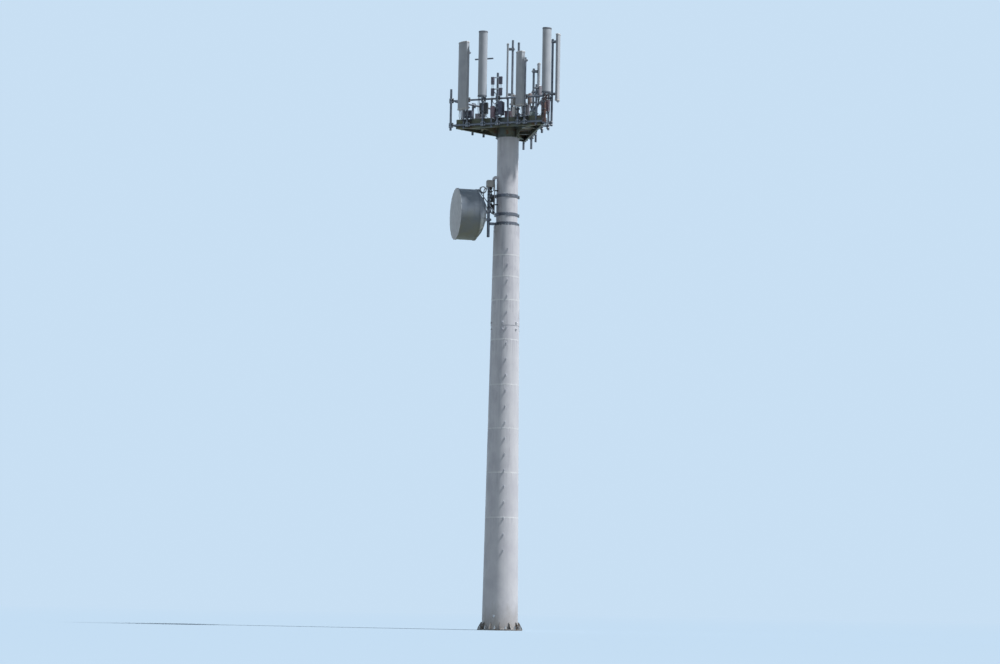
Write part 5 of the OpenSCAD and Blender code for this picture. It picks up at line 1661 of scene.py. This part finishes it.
# anchor bolts with levelling nuts and washers, and the earthing lug
bm = bmesh.new()
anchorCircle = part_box("base_flange")[1][0] - trim["anchorIn"]
for index in range(trim["anchors"]):
    bearing = math.tau * (index + 0.5) / trim["anchors"]
    own = shifted(math.cos(bearing) * anchorCircle, math.sin(bearing) * anchorCircle, flangeTop)
    for part in ("washer", "thread", "nut"):
        radius, height, sides, edge, above = trim[part]
        addRod(bm, own @ shifted(0, 0, above), radius, height, sides, bevel=edge)
    addBolt(bm, own, (0, 0, trim["anchorRise"]), (0, 0, 1), trim["anchorBolt"])
makePiece("anchor_nuts", bm, "bolt")
bm = bmesh.new()
lugRadius = shaftRadius("lower_shaft", trim["earthHeight"])
own = turnedBy(trim["earthBearing"]) @ shifted(lugRadius, 0, trim["earthHeight"])
addBox(bm, own, *trim["earth"], bevel=0.003)
addBolt(bm, own, (trim["earth"][0][1], 0, 0), (1, 0, 0), trim["earthBolt"])
makePiece("earth_lug", bm, "bolt")
print("shaft trim ready")

# Headframe: corner plates, bolts of arms, deck and beams, toe board cleats and the hub's ring bolts
head = {
    "cornerRadius": 2.110, "plateIn": 0.020, "plate": (0.012, 0.150), "plateRise": 0.0106, "gap": 0.0004,
    "plateBolts": (0.045, 0.115), "plateBoltIn": 0.035, "cornerBolt": 0.022,
    "armBolts": (0.62, 0.80, 1.15, 1.55), "armSpread": 0.075, "bolt": 0.016,
    "beamBolts": 9, "beamFrom": -1.48, "beamPitch": 0.37, "beamIn": 0.035,
    "beamAlong": 0.06, "beamRise": 0.10,
    "cleats": (-1.2, -0.6, 0.0, 0.6, 1.2), "cleatHalf": 0.02, "cleatFoot": -0.036,
    "cleatBack": -0.0064, "cleatThick": 0.004, "cleatHeight": 0.06,
    "cleatBoltRise": 0.036, "cleatBolt": 0.012,
    "ringBolts": 12, "ringCircle": 0.465, "ringThickness": 0.016, "ringBolt": 0.024,
}
bm, metal = bmesh.new(), bmesh.new()
for corner in range(3):
    own = turnedBy(cornerBearing + 120 * corner)
    # a plate over the mitred webs at each corner, with its bolts
    low, high = beamBottom + head["plateIn"], beamTop - head["plateIn"]
    for side in bothSides:
        web = own @ shifted(head["cornerRadius"], 0, 0) @ turnedBy(side * 150)
        rise, gap = side * head["plateRise"], side * head["gap"]
        addBox(bm, web, head["plate"], (min(0, rise) + gap, max(0, rise)), (low, high))
        for x in head["plateBolts"]:
            for z in (low + head["plateBoltIn"], high - head["plateBoltIn"]):
                addBolt(metal, web, (x, rise, z), (0, side, 0), head["cornerBolt"])
    for side in bothSides:
        for x in head["armBolts"]:
            addBolt(metal, own, (x, side * head["armSpread"], deckTop), (0, 0, 1), head["bolt"])
for place in faceFrames.values():
    for index in range(head["beamBolts"]):
        y = head["beamFrom"] + index * head["beamPitch"]
        addBolt(metal, place, (-head["beamIn"], y, deckTop), (0, 0, 1), head["bolt"])
        spot = (0.0, y + head["beamAlong"], beamBottom + head["beamRise"])
        addBolt(metal, place, spot, (1, 0, 0), head["bolt"])
    for y in head["cleats"]:
        foot, back, thick = head["cleatFoot"], head["cleatBack"], head["cleatThick"]
        ys, face = (y - head["cleatHalf"], y + head["cleatHalf"]), back - thick
        addBox(bm, place, (foot, back), ys, (deckTop, deckTop + thick), bevel=0.001, segments=1)
        zs = (deckTop, deckTop + head["cleatHeight"])
        addBox(bm, place, (face, back), ys, zs, bevel=0.001, segments=1)
        addBolt(metal, place, (face, y, deckTop + head["cleatBoltRise"]), (-1, 0, 0), head["cleatBolt"])
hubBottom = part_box("headframe_hub")[0][2]
for index in range(head["ringBolts"]):
    bearing = math.tau * (index + 0.5) / head["ringBolts"]
    x, y = math.cos(bearing) * head["ringCircle"], math.sin(bearing) * head["ringCircle"]
    addBolt(metal, atOrigin, (x, y, hubBottom + head["ringThickness"]), (0, 0, 1), head["ringBolt"])
    addBolt(metal, atOrigin, (x, y, hubBottom), (0, 0, -1), head["ringBolt"])
makePiece("headframe_plates", bm, "galvanised")
makePiece("headframe_bolts", metal, "bolt")
print("headframe trim ready")
